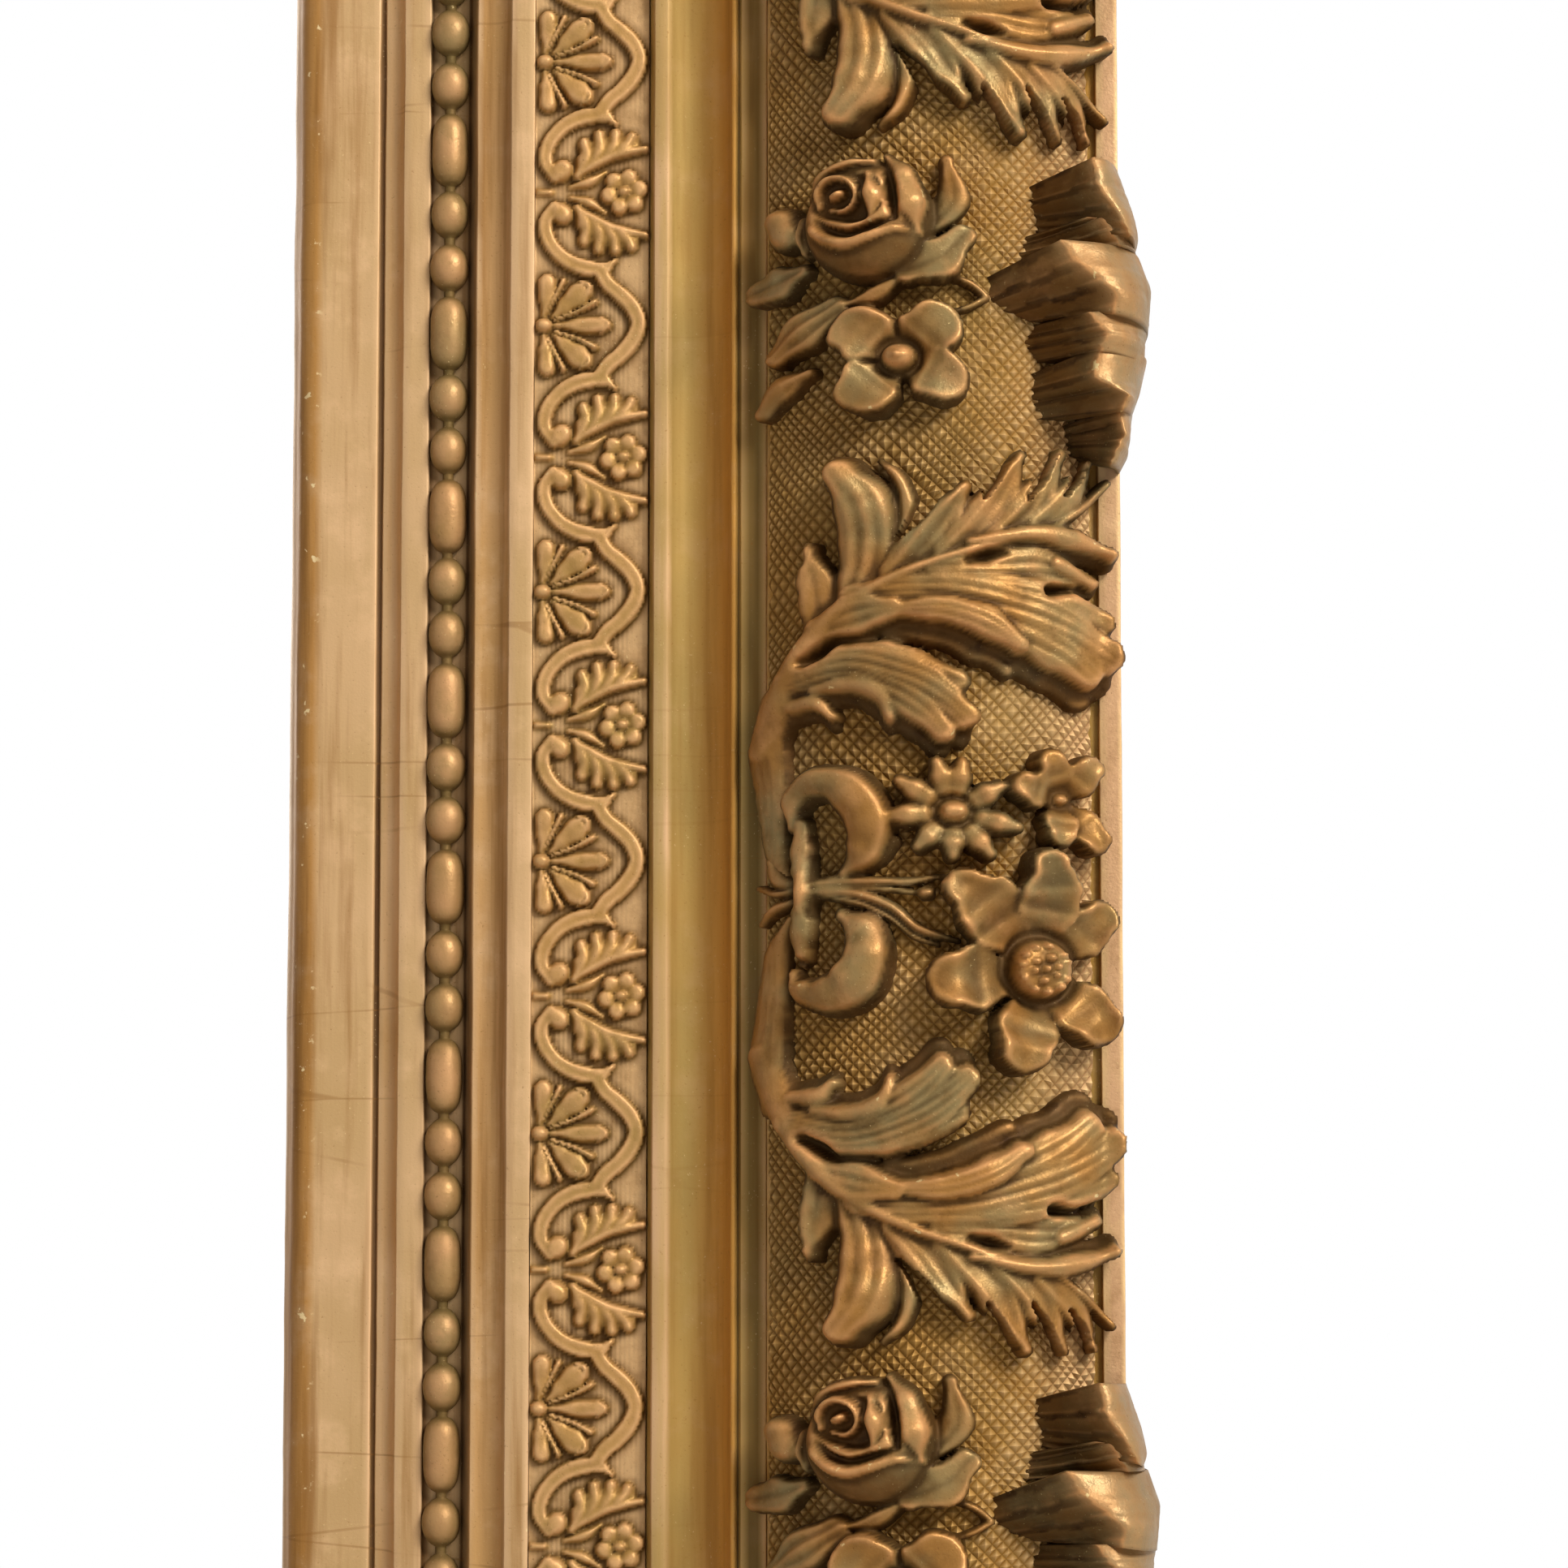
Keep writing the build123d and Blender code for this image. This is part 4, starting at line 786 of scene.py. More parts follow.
def reliefMesh(lobes, low, high, cell, seed, smoothing=1, fine=()):
    # Grid over the motif: cells that touch it are kept and their outer corners pulled onto its outline
    x, y = np.meshgrid(np.arange(low[0], high[0], cell), np.arange(low[1], high[1], cell), indexing="ij")
    z, inside, dirt = relief(lobes, x, y)
    for k, (size, amount) in enumerate(castGrain.values()):
        z = z + amount * bumps(x, y, size, seed + k) * np.clip(inside, 0, 1)
    inner = inside > 0
    soft = lambda reach: blur(z * inner, reach) / np.maximum(blur(inner.astype(float), reach), 1e-6)
    slope = np.hypot(*np.gradient(z, cell))
    steep = 0.2 + 0.75 * blur(np.clip((slope - 1.8) / 1.5, 0, 1), 1)
    for _ in range(smoothing):
        z = np.where(inner, z + steep * (soft(1) - z), z)
    if fine:
        z = np.maximum(z, relief(fine, x, y)[0])
    cells = np.logical_or.reduce(fourCorners(inner))
    used = np.zeros(x.shape, bool)
    for grid in fourCorners(used):
        grid |= cells
    gx, gy = np.gradient(inside, cell)
    size = np.maximum(np.hypot(gx, gy), 0.3)
    pull = np.where(used & ~inner, np.clip(-inside, 0, cell * castEdge["pull"]), 0)
    detail, broad = (z - soft(max(1, int(round(reach / cell)))) for reach in castReach.values())
    # Hollows and the lobes' darkening values darken the relief: grime with painted shade; ridges lighten as
    # wear
    cavity = np.clip(-detail * 1.5 - broad * 0.25 + blur(dirt, 1), 0, 1)
    number = np.full(x.shape, -1)
    number[used] = np.arange(used.sum())
    layers = {
        "x": x + gx / size * pull, "y": y + gy / size * pull, "z": np.where(inner, z, castEdge["drop"]),
        "wear": np.clip(detail + broad * 0.1 - 0.12, 0, 1),
        "cavity": np.where(inner, cavity, castEdge["cavity"]),
    }
    motif = {key: values[used] for key, values in layers.items()}
    return dict(motif, quads=np.stack([grid[cells] for grid in fourCorners(number)], -1), low=low, high=high)


def mirrored(lobes):
    flip = []
    for item in lobes:
        copy = dict(item, path=[(p, -q) for p, q in item["path"]], tilt=-item.get("tilt", 0.0))
        if item.get("skirt"):
            dx, dy, drop = item["skirt"]
            copy["skirt"] = (dx, -dy, drop)
        flip.append(copy)
    return flip


def inRepeat(k, count, share):
    return (k + 0.02 + 0.96 * share) / count  # place in the bake, clear of the next repeat


def layRelief(kind, name, units, surface):
    # units are (motif, place along the rail); surface turns (x, z) into (u, h)
    rows, total = [], 0
    for k, (motif, place) in enumerate(units):
        u, h = surface(motif["x"], motif["z"])
        (left, foot), (right, head) = motif["low"], motif["high"]
        rows.append({
            "points": toWorld(sides[name], u, motif["y"] + place, h), "quads": motif["quads"] + total,
            "along": inRepeat(k, len(units), (motif["y"] - foot) / (head - foot)),
            "across": (motif["x"] - left) / (right - left), "tone": motif.get("tone", np.zeros(len(u))),
            "wear": motif["wear"], "cavity": motif["cavity"],
        })
        total += len(u)
    whole = {key: np.concatenate([row[key] for row in rows]) for key in rows[0]}
    makePiece(f"{kind}_{name}_gilt", whole["points"], [whole["quads"]], "gilded_foliage", [f"{kind}_{name}"],
              (whole["along"], whole["across"], len(units)),
              {key: whole[key] for key in ("wear", "cavity", "tone")})


# Lace strips: palmette under a ribbon arch, scrolls with volutes, lobed leaves and a rosette
lace = {"start": 55.0, "width": 24.9, "ground": 51.2, "target": 59.0, "cell": 0.5, "axis": -0.2}
laceGrain = {"stripe": 0.95, "stripeHeight": 0.1, "broad": (0.16, 5), "fine": (0.1, 1.6)}
rosette = {"across": 19.5, "petals": 6, "reach": 3.3, "turn": 12}
bladeHeight, blade = [1.3, 1.8, 2.3], {"crown": 0.22, "edge": 0.8, "ragged": 0.5}
curlWidth, curlHeight = [0.5, 0.7, 0.5], [2.3, 2.8, 2.4]


def besideAxis(sign, path):
    return [(v, round(sign * a + lace["axis"], 2)) for v, a in path]


palmette = [dot((2.0, lace["axis"]), 1.8, 2.5, crown=0.4)]
for sign in (1, -1):
    palmette += [
        lobe(besideAxis(sign, [(2, 2.4), (2.6, 6.6), (2.7, 9.4)]), [0.7, 1.8, 2.1], bladeHeight, **blade),
        lobe(besideAxis(sign, [(4, 2), (7.3, 5), (9.6, 6.9)]), [0.6, 2, 2.7], bladeHeight, **blade),
    ]
palmette.append(lobe(besideAxis(1, [(4.6, 0), (10, 0), (14.8, 0)]), [0.6, 1.8, 1.9], bladeHeight, **blade))
for sign in (1, -1):
    palmette += [
        lobe(besideAxis(sign, [(4.4, 1.3), (9.4, 3), (13.2, 5)]), [0.35, 0.5, 0.8], [1.9, 2.2, 2.6],
             edge=0.5),
        lobe(besideAxis(sign, [(3, 3), (4.7, 6.6), (6.3, 9.8)]), [0.35, 0.5, 0.7], [1.8, 2.2, 2.5], edge=0.5),
        lobe(besideAxis(sign, [(9.9, 9.6), (11.9, 8.7), (12.1, 6.6)]), curlWidth, curlHeight, edge=0.5),
    ]
palmette.append(lobe(besideAxis(1, [(14.6, 1.6), (16.3, 0), (14.6, -1.6)]), curlWidth, curlHeight, edge=0.5))
archRibbon = lobe(
    [(14.4, 11.4), (16.2, 8.7), (18.8, 6.5), (21.4, 3.7), (22.7, 0.2), (21.5, -3.5), (18.9, -6.7),
     (16.3, -8.9), (14.4, -11.4)], [1.7, 1.8, 1.9, 1.9, 1.8, 1.9, 1.9, 1.8, 1.7], 1.9, crown=-0.1, edge=0.6)
leafFinger = {"crown": 0.45, "groove": -0.25, "edge": 0.7}
laceHalf = [
    lobe([(17.6, 14.2), (15.2, 12.3), (12.6, 12.3), (9.2, 13.1), (5.6, 15.2), (2.9, 18.8), (2.3, 22.8),
          (4.4, 26)],
         [0.6, 1.7, 1.9, 1.8, 1.7, 1.7, 1.6, 1.5], [1.7, 1.8, 1.9, 1.9, 1.9, 1.9, 2, 2.2], crown=-0.14,
         edge=0.6),
    lobe([(5.6, 24.8), (6, 24.5)], 2.5, 2.6, crown=0.3, edge=1.4),
    lobe([(10.4, 25), (14, 20.6), (20.6, 19)], [1.2, 3.2, 2.4], 1.5, edge=0.8),
    lobe([(9.4, 25.6), (11.4, 21.6), (10.8, 18.8)], [1.2, 2.3, 1.6], [1.8, 2.3, 1.9], **leafFinger),
    lobe([(11.6, 24), (14.2, 20.2), (14, 17)], [1.2, 2.3, 1.6], [2, 2.4, 2], **leafFinger),
    lobe([(14, 22.6), (17.2, 19.4), (17.6, 16.8)], [1.2, 2.3, 1.6], [2, 2.4, 2], **leafFinger),
    lobe([(16.6, 21.6), (20, 19.2), (21.1, 17.4)], [1.2, 2.2, 1.5], [2, 2.4, 2], **leafFinger),
    lobe([(9, 26), (13, 23.4), (17.6, 21.2), (24.2, 19.8)], [0.8, 1.2, 1.2, 0.9], [2, 2.5, 2.6, 2.2],
         crown=0.3, edge=0.8),
    lobe([(7.8, 28.2), (12, 27), (15.4, 24.9)], [0.6, 1.3, 0.5], [1.5, 1.8, 1.2]),
]


def laceUnit(pitch):
    heart = (rosette["across"], pitch / 2)
    lobes = palmette + [archRibbon] + laceHalf + mirrored(laceHalf)
    for k in range(rosette["petals"]):
        turn = math.radians(360 / rosette["petals"] * k + rosette["turn"])
        tip = (heart[0] + rosette["reach"] * math.cos(turn), heart[1] + rosette["reach"] * math.sin(turn))
        lobes.append(lobe([heart, tip], [0.7, 2.05], [1.2, 2.3], crown=0.1, edge=1.0))
    lobes.append(dot(heart, 1.6, 2.9, crown=0.5))
    lobes.append(lobe([(0.7, pitch / 2), (3.3, pitch / 2)], 0.7, 1.4))
    moved = lambda item, offset: dict(item, path=[(v, a + offset) for v, a in item["path"]])
    v = np.linspace(0, lace["width"], int(lace["width"] / lace["cell"]) + 2)
    a = np.linspace(-pitch / 2, pitch / 2, int(round(pitch / lace["cell"])), endpoint=False)
    x, y = np.meshgrid(v, a, indexing="ij")
    z, inside = relief([moved(item, offset) for offset in (-pitch, 0, pitch) for item in lobes], x, y)[:2]
    return v, a, z, np.clip(inside, -1, 1)


for name, side in sides.items():
    count, pitch = repeats(side["half"], lace["start"] + lace["width"] / 2, lace["target"])
    v, a, unit, unitInside = laceUnit(pitch)
    z, covered = np.tile(unit, (1, count + 2)), np.tile(unitInside, (1, count + 2))
    s = np.concatenate([a + (i - 1 - (count - 1) / 2) * pitch for i in range(count + 2)])
    x, y = np.meshgrid(v, s, indexing="ij")
    wander = 0.3 * smoothNoise(x, y, 8, side["seed"] + 130)
    stripes = laceGrain["stripeHeight"] * np.cos(2 * math.pi * (x / laceGrain["stripe"] + wander))
    z = z + np.where(covered > 0, 0, stripes)
    for k, (amount, cell) in enumerate((laceGrain["broad"], laceGrain["fine"])):
        z = z + amount * bumps(x, y, cell, side["seed"] + 131 + k)
    detail, broad = z - blur(z, 3), z - blur(z, 9)
    layers = {
        "wear": np.clip(detail * 1.6 + broad * 0.2, 0, 1),
        "cavity": np.clip(-detail * 1.25 - broad * 0.15, 0, 1),
        # The ground between the relief takes the paler tint: painted light lifting the shade the relief casts
        # on it
        "tone": 0.8 * np.clip(-covered, 0, 1),
    }
    u = lace["start"] + x
    limit = side["half"] + u
    quads = gridQuads(*x.shape)
    quads = quads[(np.abs(y) <= limit).ravel()[quads].any(1)]
    y = np.clip(y, -limit, limit)
    makePiece(f"lace_strip_{name}_gilt", toWorld(side, u, y, lace["ground"] + z), [quads], "gilded_lace",
              [f"lace_strip_{name}"], (y / limit / 2 + 0.5, x / lace["width"], 5), layers)
print("lace laid")

torusSurface = lambda x, z: onTorus(torus["start"] + x, z)
reliefCell = 0.55
foliageTarget = 257.0

# Scroll leaf: rib, lobes above it, lobes below it and the striped stem to the tie
tooth = {"crown": 0.12, "tilt": 1.0, "flutes": 4, "ripple": 0.34, "ragged": 0.9}
frond = {"crown": 0.1, "edge": 0.8}
leafLobes = [
    lobe([(3.4, 43), (1.8, 33), (2.4, 22), (3.4, 10), (6, 3.4)], [3.2, 4, 3.6, 3, 1.2],
         [4.2, 3.8, 3.2, 3, 2.6], flutes=5, ripple=0.2, ragged=0.6),
    lobe([(13.6, 57), (12.8, 66), (11.4, 75)], [3.6, 3.9, 1.2], [4.6, 5.8, 7], crown=0.1, tilt=1.4, edge=1.2,
         groove=0.5, ragged=0.8),
    lobe([(19, 61), (21.8, 69), (22.8, 77), (21.8, 84), (18.4, 89.6)], [4, 5.6, 6.6, 6.4, 4.4],
         [5.4, 5.6, 6.6, 8.8, 9.8], crown=0.3, tilt=1.6, edge=2.4, flutes=4, ripple=0.34),
    lobe([(26.4, 70), (29.8, 76.5), (30.2, 83.4), (28.4, 89), (24.8, 92.6)], [1.8, 2.6, 2.6, 2, 0.8],
         [6, 5.6, 5.2, 5.4, 6], crown=0.5),
    lobe([(29, 68.4), (35.6, 77.2), (41.6, 86.8)], [4.6, 5.4, 1.5], [5.8, 6.4, 7.2], groove=0.8, **tooth),
    lobe([(38.6, 72), (46.6, 81.6), (52.8, 94)], [4.6, 4.9, 1.5], [6, 6.6, 7.4], groove=0.8, **tooth),
    lobe([(48, 75.4), (55.4, 83.8), (61, 94.6)], [4, 4.4, 1.4], [6.2, 6.6, 7], groove=0.7, **tooth),
    lobe([(56, 78.8), (63, 86), (67.2, 94)], [3, 3.2, 1.2], [6.4, 6.4, 6.4], crown=0.1, tilt=0.8, groove=0.4,
         ragged=0.7),
    lobe([(1.5, 33), (5.5, 43.5), (11, 53.5), (18, 61), (28, 67.5), (41, 72.8), (52, 76.2), (62, 80.6),
          (71.6, 89.4)],
         [3.8, 3.8, 3.2, 2.6, 2, 1.6, 1.4, 1.3, 1], [4.4, 5.8, 7.2, 7.8, 8, 8, 7.6, 7.2, 6.4], crown=0.45,
         tilt=0.4, edge=1.6),
    lobe([(42, 74.8), (54, 76.8), (64, 76), (71.2, 73.6)], [1.2, 2.4, 3, 1.9], [8, 8.2, 8.4, 7.8], crown=0.3,
         tilt=0.6, flutes=3, ripple=0.18, ragged=0.8, skirt=(0, -1.8, 3.6)),
    lobe([(36, 69.2), (47, 69.4), (56, 70.2), (62.4, 68.8)], [2.6, 4, 4.8, 3.2], [7, 6.8, 6, 5.4],
         crown=-0.04, edge=0.8, flutes=4, ripple=0.32, ragged=0.8, skirt=(0.4, -1.2, 3)),
    lobe([(60.6, 70.6), (67.2, 67.6)], [2.6, 2.2], [7.4, 6.6], crown=0.4, ragged=0.8, skirt=(0, -1.6, 3.4)),
    lobe([(20, 64.2), (35, 65.6), (52, 63.6), (63, 60.8), (68.6, 58.8)], [2.4, 3.2, 4.2, 4.8, 3.6],
         [6.8, 7, 7.4, 8, 8.6], flutes=4, ripple=0.32, tilt=0.5, ragged=1.2, skirt=(-0.6, -3, 3.6), **frond),
    lobe([(20, 63.4), (35, 63.6), (51, 60), (62.6, 55.4), (69.4, 51.6)], [2.8, 4.2, 5.4, 6, 4.6],
         [6.8, 7, 7.6, 8.6, 9.4], flutes=5, ripple=0.36, tilt=0.7, ragged=1.4, skirt=(-0.8, -4.4, 3.6),
         **frond),
    lobe([(22, 62.4), (36, 61.8), (50, 57.2), (59.6, 52.4), (65.4, 47.8)], [2.2, 3.6, 4.8, 5.2, 3.8],
         [6.6, 6.8, 7.2, 8.2, 9], flutes=4, ripple=0.36, tilt=0.7, ragged=1.2, skirt=(-0.8, -4, 3.4),
         **frond),
    lobe([(28, 60.4), (37, 60.4), (45.6, 57.2), (51.4, 53)], [2, 3.2, 3.7, 2.5], [7.8, 9.2, 10, 9.4],
         crown=0.15, tilt=0.6, edge=0.8, flutes=4, ripple=0.34, ragged=0.9, skirt=(-1.8, -4.6, 3.8)),
    lobe([(13.6, 57), (21, 59.6), (27.6, 60.8)], [2.8, 4.8, 2.6], [6.4, 7.2, 8.2], crown=0, tilt=0.8,
         edge=0.8, flutes=4, ripple=0.32, ragged=0.9, skirt=(-0.6, -2.4, 4)),
    lobe([(7, 47), (19, 50.8), (30, 48.8), (39, 45)], [2.6, 3.6, 4.4, 3.4], [5.8, 6.6, 7.2, 7.4], flutes=4,
         ripple=0.34, tilt=0.6, ragged=1, dirt=0.25, skirt=(-0.6, -3, 3), **frond),
    lobe([(7, 46.5), (19, 49.4), (30, 46.2), (37, 41.6), (40.4, 38.2)], [2.8, 4, 4.6, 4.8, 3.6],
         [5.8, 6.6, 7.4, 8, 8.2], flutes=5, ripple=0.36, tilt=0.8, ragged=1.2, dirt=0.25,
         skirt=(-0.6, -3.2, 3), **frond),
    lobe([(9, 45.6), (19, 47.4), (27.6, 43.6), (33.2, 39), (36.6, 34.8)], [2.2, 3.2, 4, 4.2, 2.8],
         [5.6, 6.4, 7, 7.6, 7.8], flutes=4, ripple=0.34, tilt=0.7, ragged=1, dirt=0.25,
         skirt=(-0.6, -3, 2.8), **frond),
    lobe([(12.5, 44.2), (19.6, 45), (25, 42.8), (26.8, 38)], [1.7, 2.6, 2.8, 1.8], [6, 7.2, 7.8, 6.8],
         crown=0.35, tilt=0.6, ragged=0.8, skirt=(-0.4, -2, 3)),
    lobe([(8, 41.4), (12.4, 41.6), (15.2, 38.8)], [2.2, 2.6, 1.5], [5.2, 6, 5.2], crown=0.3, ragged=0.8,
         skirt=(-0.4, -1.8, 2.4)),
    lobe([(41.6, 71), (45, 71.9), (49, 72.8)], [0.7, 1.3, 0.6], hole=2),
    lobe([(10.3, 50.2), (13.6, 52.2), (17.2, 54.6)], [1, 1.4, 0.7], hole=1),
    lobe([(58, 65.2), (62.6, 65.6)], [1.4, 0.8], hole=0.6),
    lobe([(45, 84.4), (47.2, 89.6), (49.6, 97)], [0.4, 1.4, 2.2], cut=True),
    lobe([(53.6, 84.4), (56.4, 89.4), (58.4, 96)], [0.4, 1.2, 1.8], cut=True),
    lobe([(61.8, 86), (64.4, 90.6), (65.4, 96)], [0.4, 1, 1.4], cut=True),
    lobe([(28, 75.4), (33, 81.6), (36.6, 90)], [0.4, 1.6, 3], cut=True),
]
leafLow, leafHigh = (-4.0, -1.0), (79.0, 98.0)
upperLeaf = reliefMesh(leafLobes, leafLow, leafHigh, reliefCell, castSeed["upperLeaf"], 2)
mirrorLow, mirrorHigh = (leafLow[0], -leafHigh[1]), (leafHigh[0], -leafLow[1])
lowerLeaf = reliefMesh(mirrored(leafLobes), mirrorLow, mirrorHigh, reliefCell, castSeed["lowerLeaf"], 2)

# Tie and bouquet: strap, curls, stems, a nine-petal daisy, a small flower and an anemone
daisyHeart, anemoneHeart, smallHeart = (38.8, 17.8), (56.0, -15.0), (60.4, 21.0)
daisyTips = [
    (26.2, 17), (28.4, 24.6), (35.6, 28.6), (40.6, 28.4), (48.2, 23.4), (51.6, 14.6), (46, 8.6), (38.6, 8.4),
    (32, 10.4),
]
smallTips = [(57.8, 28.6), (66, 27.6), (52.4, 23.4), (59.8, 13.4), (67.4, 12.4)]
anemonePetal = {"crown": -0.3, "edge": 0.8, "ragged": 0.7}
# The upper and left petals are darkened: patina with painted shade on the side away from the light
anemonePetals = [
    lobe([(51.4, -9.6), (46.6, -3.4), (42.6, 0.4), (40.6, 2)], [4.2, 7.2, 7, 4.4], [4, 6, 8.4, 9.6],
         tilt=0.9, dirt=0.4, **anemonePetal),
    lobe([(56.4, -7.6), (57.4, -1), (57.2, 3.6), (56.6, 6.6)], [4, 6.4, 6.2, 4], [4, 6.4, 8.8, 10.2],
         tilt=-0.9, dirt=0.3, **anemonePetal),
    lobe([(61, -10.6), (65, -7), (68, -4.2)], [3.8, 5.6, 4.2], [4, 6.2, 8.2], tilt=0.6, **anemonePetal),
    lobe([(60.4, -19), (64, -22.8), (67, -26.4)], [4.2, 6.6, 5], [4, 7.2, 9.8], tilt=0.9, **anemonePetal),
    lobe([(54.4, -22), (52.8, -27.4), (51.8, -32)], [4.4, 7, 5.4], [4, 7.2, 10.2], tilt=-0.9,
         **anemonePetal),
    lobe([(49, -16.6), (43.4, -17), (38.6, -17.4)], [4.4, 7.6, 5.6], [4, 6.6, 9.2], tilt=0.9, dirt=0.35,
         **anemonePetal),
]
bouquetLobes = [
    lobe([(7.2, 15.6), (8.4, 21.5), (13.4, 24.6), (19, 22.6), (22.6, 16.6), (21.6, 10), (17.6, 5.6)],
         [1.5, 3.2, 4.2, 5.2, 5.2, 4.6, 2], [4.4, 6.2, 8, 9.4, 9, 7.2, 4.6], crown=0.3, tilt=0.8, edge=2),
    lobe([(17.2, -3.4), (21.8, -7.4), (22.2, -13.6), (18.6, -19), (13, -20.2), (8.6, -18.4), (7.2, -15.4)],
         [2, 4.4, 5, 5.7, 5, 3.6, 1.5], [4.6, 7.2, 9, 9.4, 8, 6.2, 4.4], crown=0.3, tilt=-0.8, edge=2),
    lobe([(9, 16.2), (9.3, 9), (9.7, 3)], [1.6, 2.1, 1.8], [4.4, 5.4, 5.8], crown=0.1, edge=0.9, dirt=-0.6),
    lobe([(9.7, 0), (9.2, -6), (9, -12.5)], [1.8, 2.1, 1.6], [5.8, 5.2, 4.2], crown=0.1, edge=0.9,
         dirt=-0.6),
    lobe([(9.9, 5.2), (10.1, 1.5), (9.9, -2)], [1.6, 2.2, 1.6], [6.2, 7, 6.2], crown=0.4),
    lobe([(8.6, 3.6), (4.4, 4.6), (2.2, 8.8)], [0.9, 1.9, 1.3], [3.6, 4, 3.4], groove=0.4),
    lobe([(8.8, 2.8), (4, 1.8), (-0.4, 3.4)], [0.9, 1, 0.8], [3.6, 3.8, 3]),
    lobe([(8.6, 0.4), (3.4, -1.4), (0.2, -4.4)], [0.9, 1.4, 0.9], [3.6, 3.8, 3]),
    lobe([(11, 3.3), (20, 3.8), (30, 3.6), (36.6, 4.6)], [1.4, 1.3, 1, 0.7], [4.6, 4.2, 3.8, 3.6]),
    lobe([(11, 3.6), (18, 5.2), (24, 8), (27, 12)], [1, 1, 1.5, 1.6], [4.6, 4.2, 4.2, 4.6], groove=0.3),
    lobe([(11.5, 1.8), (20, 1.1), (27, -2), (32, -6.4), (40, -9)], [1.4, 1.4, 1.2, 1.1, 0.7],
         [4.6, 4.2, 4, 3.8, 3.4]),
    lobe([(11.5, 1.2), (20, -0.8), (26, -3.8), (31, -8), (36, -9.8)], [1, 1, 0.9, 0.8, 0.6],
         [4.2, 3.8, 3.4, 3, 2.6]),
    lobe([(12, 2.6), (23, 2.2), (33, 1.1)], [0.8, 0.8, 0.7], [4.6, 3.8, 3.4]),
    lobe([(33.4, 1), (33.9, 1)], 1.7, 5, crown=0.6),
]


def towards(heart, tip, reaches):
    return [tuple(np.add(heart, np.subtract(tip, heart) * reach)) for reach in reaches]


for tip in daisyTips:
    path = towards(daisyHeart, tip, (0.2, 0.5, 0.76, 0.94))
    bouquetLobes.append(lobe(path, [1.3, 2.6, 2.9, 1.9], [4.6, 6.8, 8, 7.6], crown=0.3, groove=0.2, edge=0.8))
for tip in smallTips:
    path = towards(smallHeart, tip, (0.2, 0.68)) + [tip]
    bouquetLobes.append(lobe(path, [2.2, 4.2, 3.2], [4, 7, 9], crown=-0.2, edge=0.8))
bouquetLobes += anemonePetals + [
    dot(daisyHeart, 3.2, 9.4, crown=0.45, edge=1.8),
    dot(anemoneHeart, 9, hole=3.4, edge=1.6),
    dot(anemoneHeart, 7, 9.4, crown=0.2, edge=3, dirt=0.25),
    dot(smallHeart, 1.8, 6.4, crown=0.4),
    lobe([(7.4, -12.4), (12, -14), (17, -11.6)], [0.8, 1.2, 0.6], hole=1.2),
]
granules, granuleLobes = np.random.default_rng(31), []
for ring, count in ((0.0, 1), (2.5, 6), (4.8, 11)):
    for k in range(count):
        turn = 2 * math.pi * (k + granules.uniform(-0.25, 0.25)) / count + ring
        centre = (anemoneHeart[0] + ring * math.cos(turn), anemoneHeart[1] + ring * math.sin(turn))
        width = granules.uniform(1.15, 1.5)
        height = 11.2 - 0.05 * ring ** 2 + granules.uniform(-0.4, 0.4)
        granuleLobes.append(dot(centre, width, height, crown=0.35, edge=1.0))
bouquetLow, bouquetHigh, bouquetCell = (-3.0, -40.0), (76.0, 34.0), reliefCell * 0.9
bouquet = reliefMesh(bouquetLobes, bouquetLow, bouquetHigh, bouquetCell, castSeed["bouquet"], 2, granuleLobes)

# Rose spray: rose with wrapped petals, bud, leaves and an open flower
roseBody = [
    # The rose is darkened through its lobes: patina with painted shade, heaviest on the globe
    lobe([(23, 15.2), (23.1, 15.2)], 13.2, 12.6, crown=0, edge=13.2, dirt=0.9),
    lobe([(26.6, 29), (30, 24.4), (31.4, 18.6), (32.8, 12)], [1.2, 2.8, 3.2, 1.2], [6, 9.8, 12.2, 9.4],
         crown=0.1, tilt=-1, edge=1.2),
    lobe([(11.6, 17), (15.2, 11.8), (20, 9.4), (24.4, 10.6), (29.2, 12.2), (33.4, 11.2)],
         [0.7, 1.5, 1.7, 1.7, 1.5, 0.7], [6, 10.8, 13, 13.2, 12.2, 8], crown=0.1, tilt=0.6, edge=1,
         dirt=0.6),
    lobe([(11.8, 21), (15, 25.6), (19.8, 27.8), (24.4, 28)], [1, 1.5, 1.5, 0.9], [5.6, 8.2, 8.6, 7.6],
         crown=0.1, tilt=-0.6, edge=1, dirt=0.3),
    lobe([(18.4, 20.4), (21, 19.6)], 6.2, hole=7, edge=1.4),
    lobe([(12.2, 19), (15.8, 14.2), (20.2, 11.8), (24.4, 12.9), (28.4, 14.4)], [0.5, 1, 1.1, 1, 0.5],
         hole=8.4, edge=0.6),
    lobe([(25, 29.8), (27.2, 24.8), (28.2, 19), (28.8, 14.6)], [0.5, 1.1, 1.2, 0.5], hole=5.6, edge=0.7),
    lobe([(25, 15), (24.9, 19.4), (23.6, 25)], [1.5, 2.2, 0.8], [11.6, 12.6, 10.6], crown=0.15, tilt=0.5,
         edge=0.9, dirt=0.2),
    lobe([(14.8, 18.2), (14.6, 21.6), (17, 24.2), (20.4, 23.4), (21.7, 20), (19.7, 17.2), (16.8, 17.6)],
         [0.9, 1.2, 1.3, 1.2, 1.1, 1, 0.8], [9.4, 10.4, 11, 11.4, 11.4, 10.8, 10], crown=0.5, edge=1,
         dirt=0.5),
]
